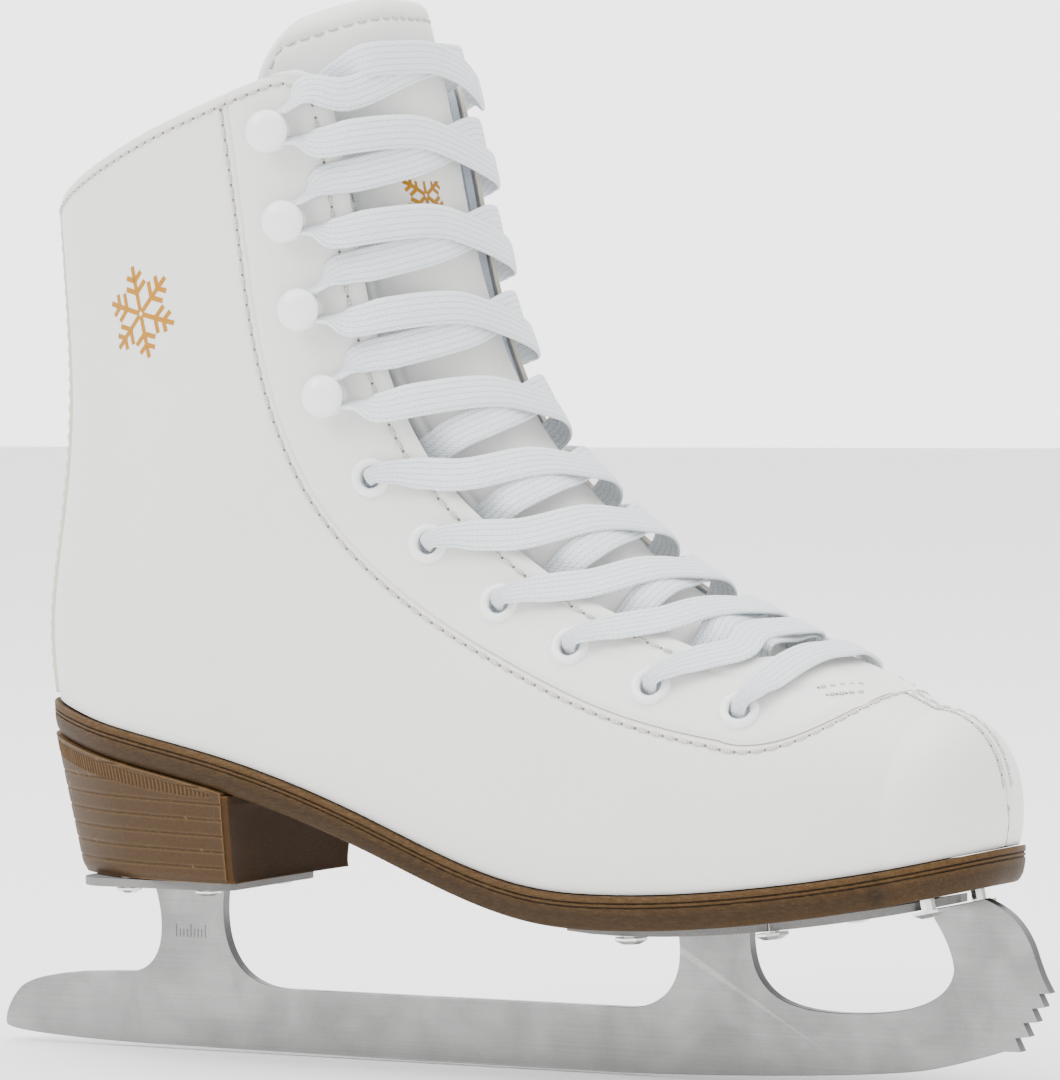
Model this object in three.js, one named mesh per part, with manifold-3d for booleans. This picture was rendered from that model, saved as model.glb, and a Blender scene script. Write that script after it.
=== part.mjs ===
// Ladies' figure skate for the right foot: a lace-up boot with a padded tongue, a moulded sole with a
// stacked heel, and a steel blade set screwed under the sole and the heel.
// Millimetres. +X points to the toe, +Y to the inner (medial) side, +Z up. The blade lies in the plane
// y = 0 while it is drawn; the finished group is moved so that its origin is the middle of its base.
import * as THREE from 'three';
import { mergeVertices } from 'three/addons/utils/BufferGeometryUtils.js';
import Module from 'manifold-3d';

const wasm = await Module();
wasm.setup();

// ---------------------------------------------------------------- driving dimensions
const SOLE_LENGTH = 262;
const SHAFT_HEIGHT = 190;
const BALL_WIDTH = 82;
const CLEARANCE = 0.3;

const UPPER_THICKNESS = 1.6;
const EYESTAY_THICKNESS = 1.5;
const EYESTAY_PROUD = 0.35;
const STIFFENER_THICKNESS = 1.3;
const LINING_THICKNESS = 1.8;
const BACK_STAY_WIDTH = 10;
const BACK_STAY_THICKNESS = 1.3;

const TONGUE_COVER = 1.2;
const TONGUE_FOAM = 4.6;
const TONGUE_LINING = 1.0;
const TONGUE_CREST = 1.9;
const TONGUE_TUCK = 9;

const EYELET_OUTER_RADIUS = 4.8;
const EYELET_BORE_RADIUS = 2.5;
const EYELET_BARREL_RADIUS = 3.0;
const HOOK_CAP_RADIUS = 5.1;
const HOOK_NECK_RADIUS = 1.9;
const HOOK_FLANGE_RADIUS = 4.4;
const HOOK_NECK_HEIGHT = 3.5;
const HOOK_STEM_RADIUS = 1.3;

const LACE_WIDTH = 8;
const LACE_THICKNESS = 1.2;
const LACE_BUNCH_WIDTH = 3.4;
const LACE_BUNCH_THICKNESS = 1.8;
const AGLET_LENGTH = 14;
const AGLET_RADIUS = 1.7;

const SOLE_THICKNESS = 8.2;
const WELT_MARGIN = 1.4;
const HEEL_BASE_Z = 43.6;
const HEEL_BREAST_X = -64.6;
const HEEL_TAPER = 0.87;
const BREAST_FLAP_THICKNESS = 1.2;
const INSOLE_THICKNESS = 2.0;
const FOOTBED_THICKNESS = 3.6;
const SHANK_WIDTH = 14;
const SHANK_THICKNESS = 1.2;

const PLATE_THICKNESS = 2.0;
const BLADE_THICKNESS = 2.9;
const PLATE_SCREW_HEAD = 4.1;
const HEEL_SCREW_HEAD = 3.2;
const SCREW_SHANK_RADIUS = 1.8;
const SCREW_GRIP = 5.5;

// ---------------------------------------------------------------- the boot form
// Twelve sections run from the collar (0) over the ankle to the toe (11). Each lies in a plane that
// holds the Y axis and joins a point of the front line to a point of the back and bottom line.
// [front x, front z, back x, back z, lateral half width, medial half width,
//  lateral front fullness, medial front fullness, back fullness, place of the greatest width]
const SECTIONS = [
  [-24, 249, -125, 210.5, 39, 39, 2.6, 3.1, 1.65, 0.46],
  [-16, 217, -123.2, 182, 38, 38, 2.6, 3.1, 1.65, 0.45],
  [-9.5, 191, -122.8, 157, 37, 37, 2.6, 3.1, 1.65, 0.44],
  [-1, 168, -125.3, 133, 36.5, 36.5, 2.6, 3.1, 1.7, 0.42],
  [11, 149.5, -129, 108, 36, 36, 2.55, 3.1, 1.8, 0.4],
  [25, 136, -128.5, 81, 35.5, 36, 2.5, 3.0, 1.9, 0.38],
  [39, 124.5, -110, 61, 36, 36.5, 2.45, 2.9, 2.0, 0.38],
  [54, 114.5, -62, 53, 38, 37.5, 2.4, 2.7, 2.1, 0.4],
  [70, 106.5, -10, 40, 40.5, 39.5, 2.35, 2.5, 2.2, 0.44],
  [87, 99.5, 40, 31, 41.5, 41, 2.25, 2.3, 2.4, 0.52],
  [102, 94, 83, 34, 37, 36, 2.1, 2.1, 2.4, 0.55],
  [114, 88.6, 110, 42, 28.5, 27, 2.1, 2.0, 2.3, 0.55],
];
const TOE_SECTION = SECTIONS.length - 1;
const TOE_TIP = [131.2, 66];
const TOE_DOME_POWER = 0.85;
const COLLAR_U = 0.1;
const THROAT_START_U = 8;
const THROAT_END_U = 8.75;
const SEAM_TURN_U = 9;
const SEAM_END_U = 10.26;

// Height of the line where upper and sole meet, every 22 mm along a 264 mm last, heel to toe.
const FEATHER_STEP = 22;
const FEATHER_START = -132;
const FEATHER_HEIGHTS = [87.1, 82.9, 79.1, 75, 69, 61, 52.4, 46.9, 46, 47.1, 49.4, 52.8, 57.5];
// Half width of the opening between the two facings, section by section, down to the throat.
const OPENING_HALF_WIDTHS = [29, 29, 29, 29, 28.5, 27.2, 26.2, 26, 24.5];
// Distance of the eyestay seam from the front line, measured around the boot, down to its turn.
const SEAM_DISTANCES = [57, 59.5, 61.7, 63.5, 64.5, 63.3, 59.8, 56.3, 52, 44.6];
// Places of the eyelets and hooks along the boot, bottom to top, and their distance from the edge.
const EYELET_ROWS = [8.94, 8.04, 7.06, 6.08, 4.95, 3.93];
const HOOK_ROWS = [2.95, 2.05, 1.22, 0.5];
const EYELET_INSET = 15;
const FACING_CORNER_RADIUS = 11;
const SECTION_SPACING = 33;
const HOOK_INSET = 15.5;
const LOWEST_EYELET_DISTANCE = 36;
const SECOND_EYELET_DISTANCE = 41.5;
// Side outlines of the stiff parts between upper and lining, as corners in the XZ plane.
const COUNTER_OUTLINE = [[-150, 60], [-64, 60], [-72, 92], [-96, 112], [-150, 118]];
const TOE_PUFF_OUTLINE = [[95, 30], [150, 30], [150, 110], [107, 110]];
const ANKLE_PADDING_OUTLINE = [[-118, 128], [-62, 128], [-60, 150], [-76, 200], [-118, 192]];
// Half width of the tongue around the boot, from the collar to its seam.
const TONGUE_TOP_U = -0.2;
const TONGUE_BASE_U = 8.9;
const TONGUE_HALF_WIDTHS = [34, 35, 35, 35, 35, 35, 34.5, 34, 31, 21];

const LENGTH_SCALE = SOLE_LENGTH / 262;
const HEIGHT_SCALE = SHAFT_HEIGHT / 190;
const WIDTH_SCALE = BALL_WIDTH / 82;
const SHAFT_BASE_Z = 58;

class NaturalSpline {
  constructor(values) {
    const n = values.length;
    const diagonal = new Array(n).fill(1);
    const right = new Array(n).fill(0);
    for (let i = 1; i < n - 1; i += 1) {
      const share = i === 1 ? 0 : 1 / diagonal[i - 1];
      diagonal[i] = 4 - share;
      right[i] = 6 * (values[i - 1] - 2 * values[i] + values[i + 1]) - share * right[i - 1];
    }
    this.bends = new Array(n).fill(0);
    for (let i = n - 2; i > 0; i -= 1) {
      this.bends[i] = (right[i] - this.bends[i + 1]) / diagonal[i];
    }
    this.values = values;
  }

  at(u) {
    const i = Math.min(Math.max(Math.floor(u), 0), this.values.length - 2);
    const t = u - i;
    const [a, b] = [this.values[i], this.values[i + 1]];
    const [bendA, bendB] = [this.bends[i], this.bends[i + 1]];
    return a + (b - a) * t - (t * (1 - t) * ((2 - t) * bendA + (1 + t) * bendB)) / 6;
  }
}

const sectionSplines = SECTIONS[0].map((_, k) => new NaturalSpline(SECTIONS.map((row) => row[k])));
const featherSpline = new NaturalSpline(FEATHER_HEIGHTS);
const openingSpline = new NaturalSpline(OPENING_HALF_WIDTHS);
const seamSpline = new NaturalSpline(SEAM_DISTANCES);
const tongueSpline = new NaturalSpline(TONGUE_HALF_WIDTHS);

const clamp = (value, low, high) => Math.min(Math.max(value, low), high);
const smooth = (t) => clamp(t, 0, 1) ** 2 * (3 - 2 * clamp(t, 0, 1));
const mix = (a, b, t) => a + (b - a) * t;
const range = (a, b, steps) => Array.from({ length: steps + 1 }, (_, i) => mix(a, b, i / steps));

function featherHeight(x) {
  return featherSpline.at((x / LENGTH_SCALE - FEATHER_START) / FEATHER_STEP);
}

function soleBottom(x) {
  return featherHeight(x) - CLEARANCE - SOLE_THICKNESS;
}

function sectionAt(u) {
  const values = sectionSplines.map((spline) => spline.at(Math.min(u, TOE_SECTION)));
  if (u > TOE_SECTION) {
    const angle = ((u - TOE_SECTION) * Math.PI) / 2;
    const shrink = Math.max(Math.cos(angle), 0);
    const rise = shrink ** TOE_DOME_POWER;
    const reach = Math.sin(angle);
    values[0] = mix(values[0], TOE_TIP[0], reach);
    values[1] = mix(TOE_TIP[1], values[1], rise);
    values[2] = mix(values[2], TOE_TIP[0], reach);
    values[3] = mix(TOE_TIP[1], values[3], rise);
    values[4] *= shrink;
    values[5] *= shrink;
  }
  return values;
}

// A point of the form. angle runs from 0 on the front line to PI on the back line, negative on the
// lateral side and positive on the medial side.
function formPoint(u, angle) {
  const turn = Math.abs(angle) > Math.PI ? angle - 2 * Math.PI * Math.sign(angle) : angle;
  const side = Math.sign(turn) || 1;
  const phi = Math.abs(turn);
  const s = sectionAt(u);
  const halfWidth = side < 0 ? s[4] : s[5];
  const front = phi <= Math.PI / 2;
  const power = 2 / (front ? (side < 0 ? s[6] : s[7]) : s[8]);
  const along = Math.abs(Math.cos(phi)) ** power;
  const across = Math.sin(phi) ** power;
  const share = front ? s[9] * (1 - along) : s[9] + (1 - s[9]) * along;
  const z = mix(s[1], s[3], share);
  const lifted = z > SHAFT_BASE_Z ? SHAFT_BASE_Z + (z - SHAFT_BASE_Z) * HEIGHT_SCALE : z;
  return new THREE.Vector3(
    mix(s[0], s[2], share) * LENGTH_SCALE,
    side * halfWidth * across * WIDTH_SCALE,
    lifted,
  );
}

function formNormal(u, angle) {
  const step = 0.02;
  const low = Math.min(u, TOE_SECTION + 0.96) - step;
  const alongU = formPoint(low + 2 * step, angle).sub(formPoint(low, angle));
  const around = formPoint(u, angle + step).sub(formPoint(u, angle - step));
  const normal = alongU.cross(around).normalize();
  const centre = formPoint(u, 0).add(formPoint(u, Math.PI)).multiplyScalar(0.5);
  const outward = formPoint(u, angle).sub(centre);
  return normal.dot(outward) < 0 ? normal.negate() : normal;
}

// One half section measured around the boot, so that places are given in millimetres from the front line.
class HalfSection {
  constructor(u, side) {
    this.u = u;
    this.side = side;
    this.angles = range(0, Math.PI, 64);
    this.lengths = [0];
    const points = this.angles.map((angle) => formPoint(u, side * angle));
    points.slice(1).forEach((p, i) => this.lengths.push(this.lengths[i] + p.distanceTo(points[i])));
    this.total = this.lengths[this.lengths.length - 1];
  }

  angleAt(distance) {
    const d = clamp(distance, 0, this.total);
    const i = Math.max(this.lengths.findIndex((length) => length >= d), 1);
    const t = (d - this.lengths[i - 1]) / (this.lengths[i] - this.lengths[i - 1]);
    return mix(this.angles[i - 1], this.angles[i], t);
  }

  angleFromBack(distance) {
    return this.angleAt(this.total - distance);
  }

  distanceAt(angle) {
    const i = clamp(Math.ceil((angle / Math.PI) * 64), 1, 64);
    const t = (angle - this.angles[i - 1]) / (this.angles[i] - this.angles[i - 1]);
    return mix(this.lengths[i - 1], this.lengths[i], t);
  }

  // Distance at which the section meets the sole, or the whole length where it stays above it.
  get feather() {
    const above = (angle) => {
      const p = formPoint(this.u, this.side * angle);
      return p.z > featherHeight(p.x);
    };
    if (above(Math.PI)) return this.total;
    let [low, high] = [0, Math.PI];
    for (let i = 0; i < 24; i += 1) {
      const middle = (low + high) / 2;
      if (above(middle)) low = middle;
      else high = middle;
    }
    return this.distanceAt(low);
  }

  get edge() {
    const halfWidth = openingHalfWidth(this.u);
    const points = this.angles.slice(0, 33).map((angle) => Math.abs(formPoint(this.u, this.side * angle).y));
    const i = points.findIndex((y) => y >= halfWidth);
    if (i < 1) return 0;
    const t = (halfWidth - points[i - 1]) / (points[i] - points[i - 1]);
    return mix(this.lengths[i - 1], this.lengths[i], t);
  }

  point(distance, offset) {
    const angle = this.side * this.angleAt(distance);
    return formPoint(this.u, angle).addScaledVector(formNormal(this.u, angle), offset);
  }
}

function openingHalfWidth(u) {
  if (u >= THROAT_END_U) return 0;
  const t = clamp((u - THROAT_START_U) / (THROAT_END_U - THROAT_START_U), 0, 1);
  return openingSpline.at(Math.min(u, THROAT_START_U)) * Math.sqrt(1 - t * t) * WIDTH_SCALE;
}

function seamDistance(u) {
  if (u >= SEAM_END_U) return 0;
  const t = clamp((u - SEAM_TURN_U) / (SEAM_END_U - SEAM_TURN_U), 0, 1);
  return seamSpline.at(Math.min(u, SEAM_TURN_U)) * Math.sqrt(1 - t * t) * WIDTH_SCALE;
}

// How much further back the facing's edge lies near the collar, where its corner is rounded.
function cornerRounding(u) {
  const left = FACING_CORNER_RADIUS - (Math.max(u, COLLAR_U) - COLLAR_U) * SECTION_SPACING;
  return left > 0 ? FACING_CORNER_RADIUS - Math.sqrt(FACING_CORNER_RADIUS ** 2 - left ** 2) : 0;
}

// ---------------------------------------------------------------- solids from grids and rings
function geometryFrom(positions, indices) {
  const geometry = new THREE.BufferGeometry();
  geometry.setAttribute('position', new THREE.Float32BufferAttribute(positions, 3));
  geometry.setIndex(indices);
  return signedVolume(geometry) < 0 ? flipped(geometry) : geometry;
}

function signedVolume(geometry) {
  const p = geometry.getAttribute('position');
  const index = geometry.getIndex().array;
  const [a, b, c] = [new THREE.Vector3(), new THREE.Vector3(), new THREE.Vector3()];
  let volume = 0;
  for (let i = 0; i < index.length; i += 3) {
    a.fromBufferAttribute(p, index[i]);
    b.fromBufferAttribute(p, index[i + 1]);
    c.fromBufferAttribute(p, index[i + 2]);
    volume += a.dot(b.cross(c)) / 6;
  }
  return volume;
}

function flipped(geometry) {
  const index = geometry.getIndex().array;
  for (let i = 0; i < index.length; i += 3) [index[i + 1], index[i + 2]] = [index[i + 2], index[i + 1]];
  return geometry;
}

// A closed sheet between two grids of points of the same size.
function sheet(outer, inner) {
  const rows = outer.length;
  const columns = outer[0].length;
  const positions = [...outer, ...inner].flat().flatMap((p) => [p.x, p.y, p.z]);
  const id = (layer, i, j) => layer * rows * columns + i * columns + j;
  const indices = [];
  const quad = (a, b, c, d) => indices.push(a, b, c, a, c, d);
  for (let i = 0; i < rows - 1; i += 1) {
    for (let j = 0; j < columns - 1; j += 1) {
      const [a, b, c, d] = [[i, j], [i, j + 1], [i + 1, j + 1], [i + 1, j]];
      const span = ([m, n], [k, l]) => outer[m][n].distanceTo(outer[k][l]);
      const [p, q, r, s] = span(a, c) < span(b, d) ? [a, b, c, d] : [b, c, d, a];
      quad(id(0, ...p), id(0, ...q), id(0, ...r), id(0, ...s));
      quad(id(1, ...p), id(1, ...s), id(1, ...r), id(1, ...q));
    }
    quad(id(0, i, 0), id(0, i + 1, 0), id(1, i + 1, 0), id(1, i, 0));
    const last = columns - 1;
    quad(id(0, i + 1, last), id(0, i, last), id(1, i, last), id(1, i + 1, last));
  }
  for (let j = 0; j < columns - 1; j += 1) {
    quad(id(0, 0, j + 1), id(0, 0, j), id(1, 0, j), id(1, 0, j + 1));
    const last = rows - 1;
    quad(id(0, last, j), id(0, last, j + 1), id(1, last, j + 1), id(1, last, j));
  }
  return geometryFrom(positions, indices);
}

// A closed solid through rings. Each ring is a list of pairs, one point on each side.
function stack(rings) {
  const count = rings[0].length;
  const positions = rings.flatMap((ring) => [
    ...ring.flatMap(([p]) => [p.x, p.y, p.z]),
    ...[...ring].reverse().flatMap(([, q]) => [q.x, q.y, q.z]),
  ]);
  const around = 2 * count;
  const indices = [];
  const quad = (a, b, c, d) => indices.push(a, b, c, a, c, d);
  for (let r = 0; r < rings.length - 1; r += 1) {
    for (let k = 0; k < around; k += 1) {
      const next = (k + 1) % around;
      quad(r * around + k, r * around + next, (r + 1) * around + next, (r + 1) * around + k);
    }
  }
  const top = (rings.length - 1) * around;
  for (let i = 0; i < count - 1; i += 1) {
    const [a, b, c, d] = [i, i + 1, around - 2 - i, around - 1 - i];
    quad(b, a, d, c);
    quad(top + a, top + b, top + c, top + d);
  }
  return geometryFrom(positions, indices);
}

function toManifold(geometry) {
  const plain = geometry.index ? geometry.clone() : geometry;
  plain.deleteAttribute('normal');
  plain.deleteAttribute('uv');
  const merged = mergeVertices(plain, 1e-4);
  return new wasm.Manifold(
    new wasm.Mesh({
      numProp: 3,
      vertProperties: new Float32Array(merged.getAttribute('position').array),
      triVerts: new Uint32Array(merged.getIndex().array),
    }),
  );
}

function fromManifold(solid) {
  const { vertProperties, triVerts } = solid.getMesh();
  const geometry = new THREE.BufferGeometry();
  geometry.setAttribute('position', new THREE.Float32BufferAttribute(Array.from(vertProperties), 3));
  geometry.setIndex(Array.from(triVerts));
  return geometry;
}

function cut(geometry, tools) {
  const start = toManifold(geometry);
  return fromManifold(tools.reduce((solid, tool) => solid.subtract(toManifold(tool)), start));
}

function kept(geometry, region) {
  return fromManifold(toManifold(geometry).intersect(toManifold(region)));
}

// A drill along direction, through the point, reaching back and forth by length.
function drill(point, direction, radius, length, sides = 8) {
  const cylinder = new THREE.CylinderGeometry(radius, radius, length, sides);
  const turn = new THREE.Quaternion().setFromUnitVectors(new THREE.Vector3(0, 1, 0), direction);
  cylinder.applyQuaternion(turn);
  cylinder.translate(point.x, point.y, point.z);
  return cylinder;
}

// ---------------------------------------------------------------- materials
const FINISHES = {
  whiteLeather: { color: 0xe9e9e7, roughness: 0.5, metalness: 0 },
  whiteTrim: { color: 0xddd6c8, roughness: 0.6, metalness: 0 },
  lining: { color: 0xa9b2be, roughness: 0.9, metalness: 0 },
  foam: { color: 0xd8d4c6, roughness: 0.95, metalness: 0 },
  board: { color: 0x9c8468, roughness: 0.85, metalness: 0 },
  lace: { color: 0xe1ebf2, roughness: 0.85, metalness: 0 },
  aglet: { color: 0xf1f5f7, roughness: 0.25, metalness: 0 },
  enamel: { color: 0xf2f3f1, roughness: 0.2, metalness: 0 },
  soleBrown: { color: 0x755b3f, roughness: 0.5, metalness: 0 },
  breastBrown: { color: 0x46342a, roughness: 0.45, metalness: 0 },
  bladeSteel: { color: 0xb4b4b4, roughness: 0.32, metalness: 1 },
  screwSteel: { color: 0xd6d6d6, roughness: 0.15, metalness: 1 },
};

const skate = new THREE.Group();

function add(name, geometry, finish) {
  const mesh = new THREE.Mesh(geometry, new THREE.MeshStandardMaterial(FINISHES[finish]));
  mesh.name = name;
  skate.add(mesh);
  return mesh;
}

// ---------------------------------------------------------------- upper, lining and stiffeners
const SIDES = [
  ['lateral', -1],
  ['medial', 1],
];
const SHELL_ROWS = [
  ...range(COLLAR_U, THROAT_START_U, 10),
  ...range(THROAT_START_U, TOE_SECTION, 6).slice(1),
  ...range(TOE_SECTION, TOE_SECTION + 0.95, 4).slice(1),
];
const ANGLE_STEPS = 10;
const angles = (from, to) => range(from, to, Math.round((Math.abs(to - from) / Math.PI) * ANGLE_STEPS));

// A layer of the boot wall. Every layer uses the same rows and angles, so the layers stay parallel.
function wall(rows, around, depthAt, thickness) {
  const grid = (extra) => rows.map((u) => around.map((angle) => {
    const depth = depthAt(u, angle) + extra;
    return formPoint(u, angle).addScaledVector(formNormal(u, angle), -depth);
  }));
  return sheet(grid(0), grid(thickness));
}

// The wall of one side only, ending just short of the middle plane at the front and at the back.
function sideWall(side, depthAt, thickness) {
  const around = angles(0, Math.PI).map((angle) => side * angle);
  const half = wall(SHELL_ROWS, around, depthAt, thickness);
  const position = half.getAttribute('position');
  for (let i = 0; i < position.count; i += 1) {
    position.setY(i, side * Math.max(side * position.getY(i), CLEARANCE / 2));
  }
  return half;
}

// A thick region of the wall around the front line, as wide as reach gives for each side and row.
function frontRegion(rows, reach) {
  const columns = 7;
  const grid = (offset) => rows.map((u) => {
    const [lateral, medial] = SIDES.map(([, side]) => {
      const half = new HalfSection(u, side);
      return range(0, Math.max(reach(half), CLEARANCE), columns).map((d) => half.point(d, offset));
    });
    return [...lateral.reverse(), ...medial.slice(1)];
  });
  return sheet(grid(3), grid(-9));
}

// A block with the given side outline, reaching through both sides of the boot.
function sideBlock(corners) {
  const shape = new THREE.Shape(corners.map(([x, z]) => new THREE.Vector2(x * LENGTH_SCALE, z)));
  const block = new THREE.ExtrudeGeometry(shape, { depth: 160, bevelEnabled: false });
  return block.rotateX(Math.PI / 2).translate(0, 80, 0);
}

const turnRows = (from, to) => range(0, Math.PI / 2, 6).slice(1).map((a) => mix(from, to, Math.sin(a)));
const seamRegion = (gap) => frontRegion(
  [-0.7, ...SHELL_ROWS.filter((u) => u < SEAM_TURN_U), ...turnRows(SEAM_TURN_U, SEAM_END_U)],
  (half) => seamDistance(half.u) + gap,
);
const facingEdge = (half) => half.edge + cornerRounding(half.u);
const openingRegion = (gap) => frontRegion(
  [-0.7, ...range(COLLAR_U, 0.45, 4), ...SHELL_ROWS.filter((u) => u > 0.5 && u <= THROAT_START_U),
    ...turnRows(THROAT_START_U, THROAT_END_U)],
  (half) => facingEdge(half) + gap,
);

function underFoot() {
  const across = (height) => range(-150, 150, 40).map((x) =>
    [-80, 80].map((y) => new THREE.Vector3(x * LENGTH_SCALE, y, height(x * LENGTH_SCALE))));
  return stack([across(() => -40), across((x) => featherHeight(x) + 0.05)]);
}

const INNER_DEPTH = UPPER_THICKNESS + 2 * CLEARANCE + STIFFENER_THICKNESS + 0.1;
const FACING_DEPTH = UPPER_THICKNESS + CLEARANCE;
const stiffenerDepth = () => UPPER_THICKNESS + CLEARANCE;
function liningDepth(u, angle) {
  const half = new HalfSection(u, Math.sign(angle) || 1);
  const pastSeam = half.distanceAt(Math.abs(angle)) - seamDistance(u);
  const inward = Math.max(u < SEAM_TURN_U ? smooth((pastSeam + 4) / 8) : 0, smooth((u - 9.3) / 0.7));
  return mix(FACING_DEPTH, INNER_DEPTH, inward);
}

// A place of the facing on one side, with its outward direction.
function facingPlace(u, side, distance) {
  const half = new HalfSection(u, side);
  const angle = side * half.angleAt(distance);
  return { half, u, side, distance, point: formPoint(u, angle), normal: formNormal(u, angle) };
}

const eyeletDistance = (half, row) =>
  [LOWEST_EYELET_DISTANCE, SECOND_EYELET_DISTANCE][row] ?? half.edge + EYELET_INSET;
const eyeletPlaces = (side) =>
  EYELET_ROWS.map((u, row) => facingPlace(u, side, eyeletDistance(new HalfSection(u, side), row)));
const hookPlaces = (side) =>
  HOOK_ROWS.map((u) => facingPlace(u, side, new HalfSection(u, side).edge + HOOK_INSET));
const facingDrills = (side) => [
  ...eyeletPlaces(side).map((e) => drill(e.point, e.normal, EYELET_BARREL_RADIUS + CLEARANCE, 16)),
  ...hookPlaces(side).map((h) => drill(h.point, h.normal, HOOK_STEM_RADIUS + CLEARANCE, 16, 6)),
];

SIDES.forEach(([name, side]) => {
  const quarter = cut(sideWall(side, () => 0, UPPER_THICKNESS), [underFoot(), seamRegion(CLEARANCE)]);
  add(`quarter_${name}`, quarter, 'whiteLeather');
  const lining = sideWall(side, liningDepth, LINING_THICKNESS);
  add(`lining_${name}`, cut(lining, [underFoot(), openingRegion(CLEARANCE), ...facingDrills(side)]), 'lining');
  const padding = kept(sideWall(side, stiffenerDepth, STIFFENER_THICKNESS), sideBlock(ANKLE_PADDING_OUTLINE));
  add(`ankle_padding_${name}`, padding, 'foam');
});

// The eyestay is one U-shaped strip: down the lateral facing, around the throat, up the medial one.
const frontAngles = angles(-0.6 * Math.PI, 0.6 * Math.PI);
const frontWall = wall(SHELL_ROWS.filter((u) => u < TOE_SECTION), frontAngles, () => -EYESTAY_PROUD, EYESTAY_THICKNESS);
add('eyestay', cut(kept(frontWall, seamRegion(0)), [openingRegion(0), ...facingDrills(-1), ...facingDrills(1)]), 'whiteLeather');

const backAngles = angles(0.5 * Math.PI, 1.5 * Math.PI);
const backWall = wall(SHELL_ROWS.filter((u) => u < 9), backAngles, stiffenerDepth, STIFFENER_THICKNESS);
add('heel_counter', cut(kept(backWall, sideBlock(COUNTER_OUTLINE)), [underFoot()]), 'board');

const toeAngles = angles(-0.9 * Math.PI, 0.9 * Math.PI);
const toeWall = wall(SHELL_ROWS.filter((u) => u > 8.5), toeAngles, stiffenerDepth, STIFFENER_THICKNESS);
add('toe_puff', cut(kept(toeWall, sideBlock(TOE_PUFF_OUTLINE)), [underFoot()]), 'board');

const backStayAngles = (u) => SIDES.map(([, side]) => new HalfSection(u, side).angleFromBack(BACK_STAY_WIDTH / 2));
function backStayGeometry() {
  const rows = range(COLLAR_U, 4.76, 12);
  const grid = (offset) => rows.map((u) => {
    const [lateral, medial] = backStayAngles(u);
    return [-lateral, -(lateral + Math.PI) / 2, Math.PI, (medial + Math.PI) / 2, medial].map((angle) =>
      formPoint(u, angle).addScaledVector(formNormal(u, angle), offset));
  });
  return sheet(grid(CLEARANCE + BACK_STAY_THICKNESS), grid(CLEARANCE));
}
add('back_stay', backStayGeometry(), 'whiteTrim');

// Points of the line where upper and sole meet, from the heel to the toe.
function featherLine(side) {
  return range(4.6, TOE_SECTION + 0.995, 420)
    .map((u) => new HalfSection(u, side))
    .map((half) => ({ half, distance: half.feather }))
    .filter(({ half, distance }) => distance < half.total - 1e-6)
    .map(({ half, distance }) => half.point(distance, 0));
}

const featherLines = Object.fromEntries(SIDES.map(([, side]) => [side, featherLine(side)]));

function resampled(points, count) {
  const lengths = [0];
  points.slice(1).forEach((p, i) => lengths.push(lengths[i] + p.distanceTo(points[i])));
  const total = lengths[lengths.length - 1];
  return range(0, total, count).map((d) => {
    const i = clamp(lengths.findIndex((length) => length >= d), 1, points.length - 1);
    return points[i - 1].clone().lerp(points[i], (d - lengths[i - 1]) / (lengths[i] - lengths[i - 1] || 1));
  });
}

// ---------------------------------------------------------------- tongue
function tongueHalfWidth(u) {
  const rounding = Math.sqrt(clamp((u - TONGUE_TOP_U + 0.05) / 0.5, 0, 1));
  return tongueSpline.at(Math.max(u, 0)) * mix(0.55, 1, rounding) * WIDTH_SCALE;
}

// Depth of the tongue's face below the form: high between the facings and tucked in under them.
function tongueDepth(distance, half) {
  const open = smooth((half.edge - 3 - distance) / 13);
  return mix(TONGUE_TUCK, TONGUE_CREST, open);
}

function tongueLayer(outer, thickness, margin) {
  const rows = [
    TONGUE_TOP_U + margin * 0.03,
    ...range(0, 0.4, 2),
    ...range(0.4, THROAT_START_U, 9).slice(1),
    ...range(THROAT_START_U, TONGUE_BASE_U - margin * 0.03, 3).slice(1),
  ];
  const grid = (depth) => rows.map((u) => {
    const [lateral, medial] = SIDES.map(([, side]) => {
      const half = new HalfSection(u, side);
      return range(0, tongueHalfWidth(u), 4).map((d) => {
        const kept = Math.min(d, tongueHalfWidth(u) - margin);
        return half.point(kept, -tongueDepth(kept, half) - depth);
      });
    });
    return [...lateral.reverse(), ...medial.slice(1)];
  });
  return sheet(grid(outer), grid(outer + thickness));
}
const TONGUE_GAP = 0.6;
const TONGUE_LINING_DEPTH = TONGUE_COVER + TONGUE_FOAM + 2 * TONGUE_GAP;
add('tongue_cover', tongueLayer(0, TONGUE_COVER, 0), 'whiteLeather');
add('tongue_foam', tongueLayer(TONGUE_COVER + TONGUE_GAP, TONGUE_FOAM, 1), 'foam');
add('tongue_lining', tongueLayer(TONGUE_LINING_DEPTH, TONGUE_LINING, 0.5), 'lining');

// ---------------------------------------------------------------- eyelets and hooks
function lathed(profile, segments) {
  const geometry = new THREE.LatheGeometry(profile.map(([r, y]) => new THREE.Vector2(r, y)), segments);
  geometry.deleteAttribute('normal');
  geometry.deleteAttribute('uv');
  return mergeVertices(geometry, 1e-4);
}

function placed(mesh, point, direction) {
  mesh.quaternion.setFromUnitVectors(new THREE.Vector3(0, 1, 0), direction);
  mesh.position.copy(point);
}

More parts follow.
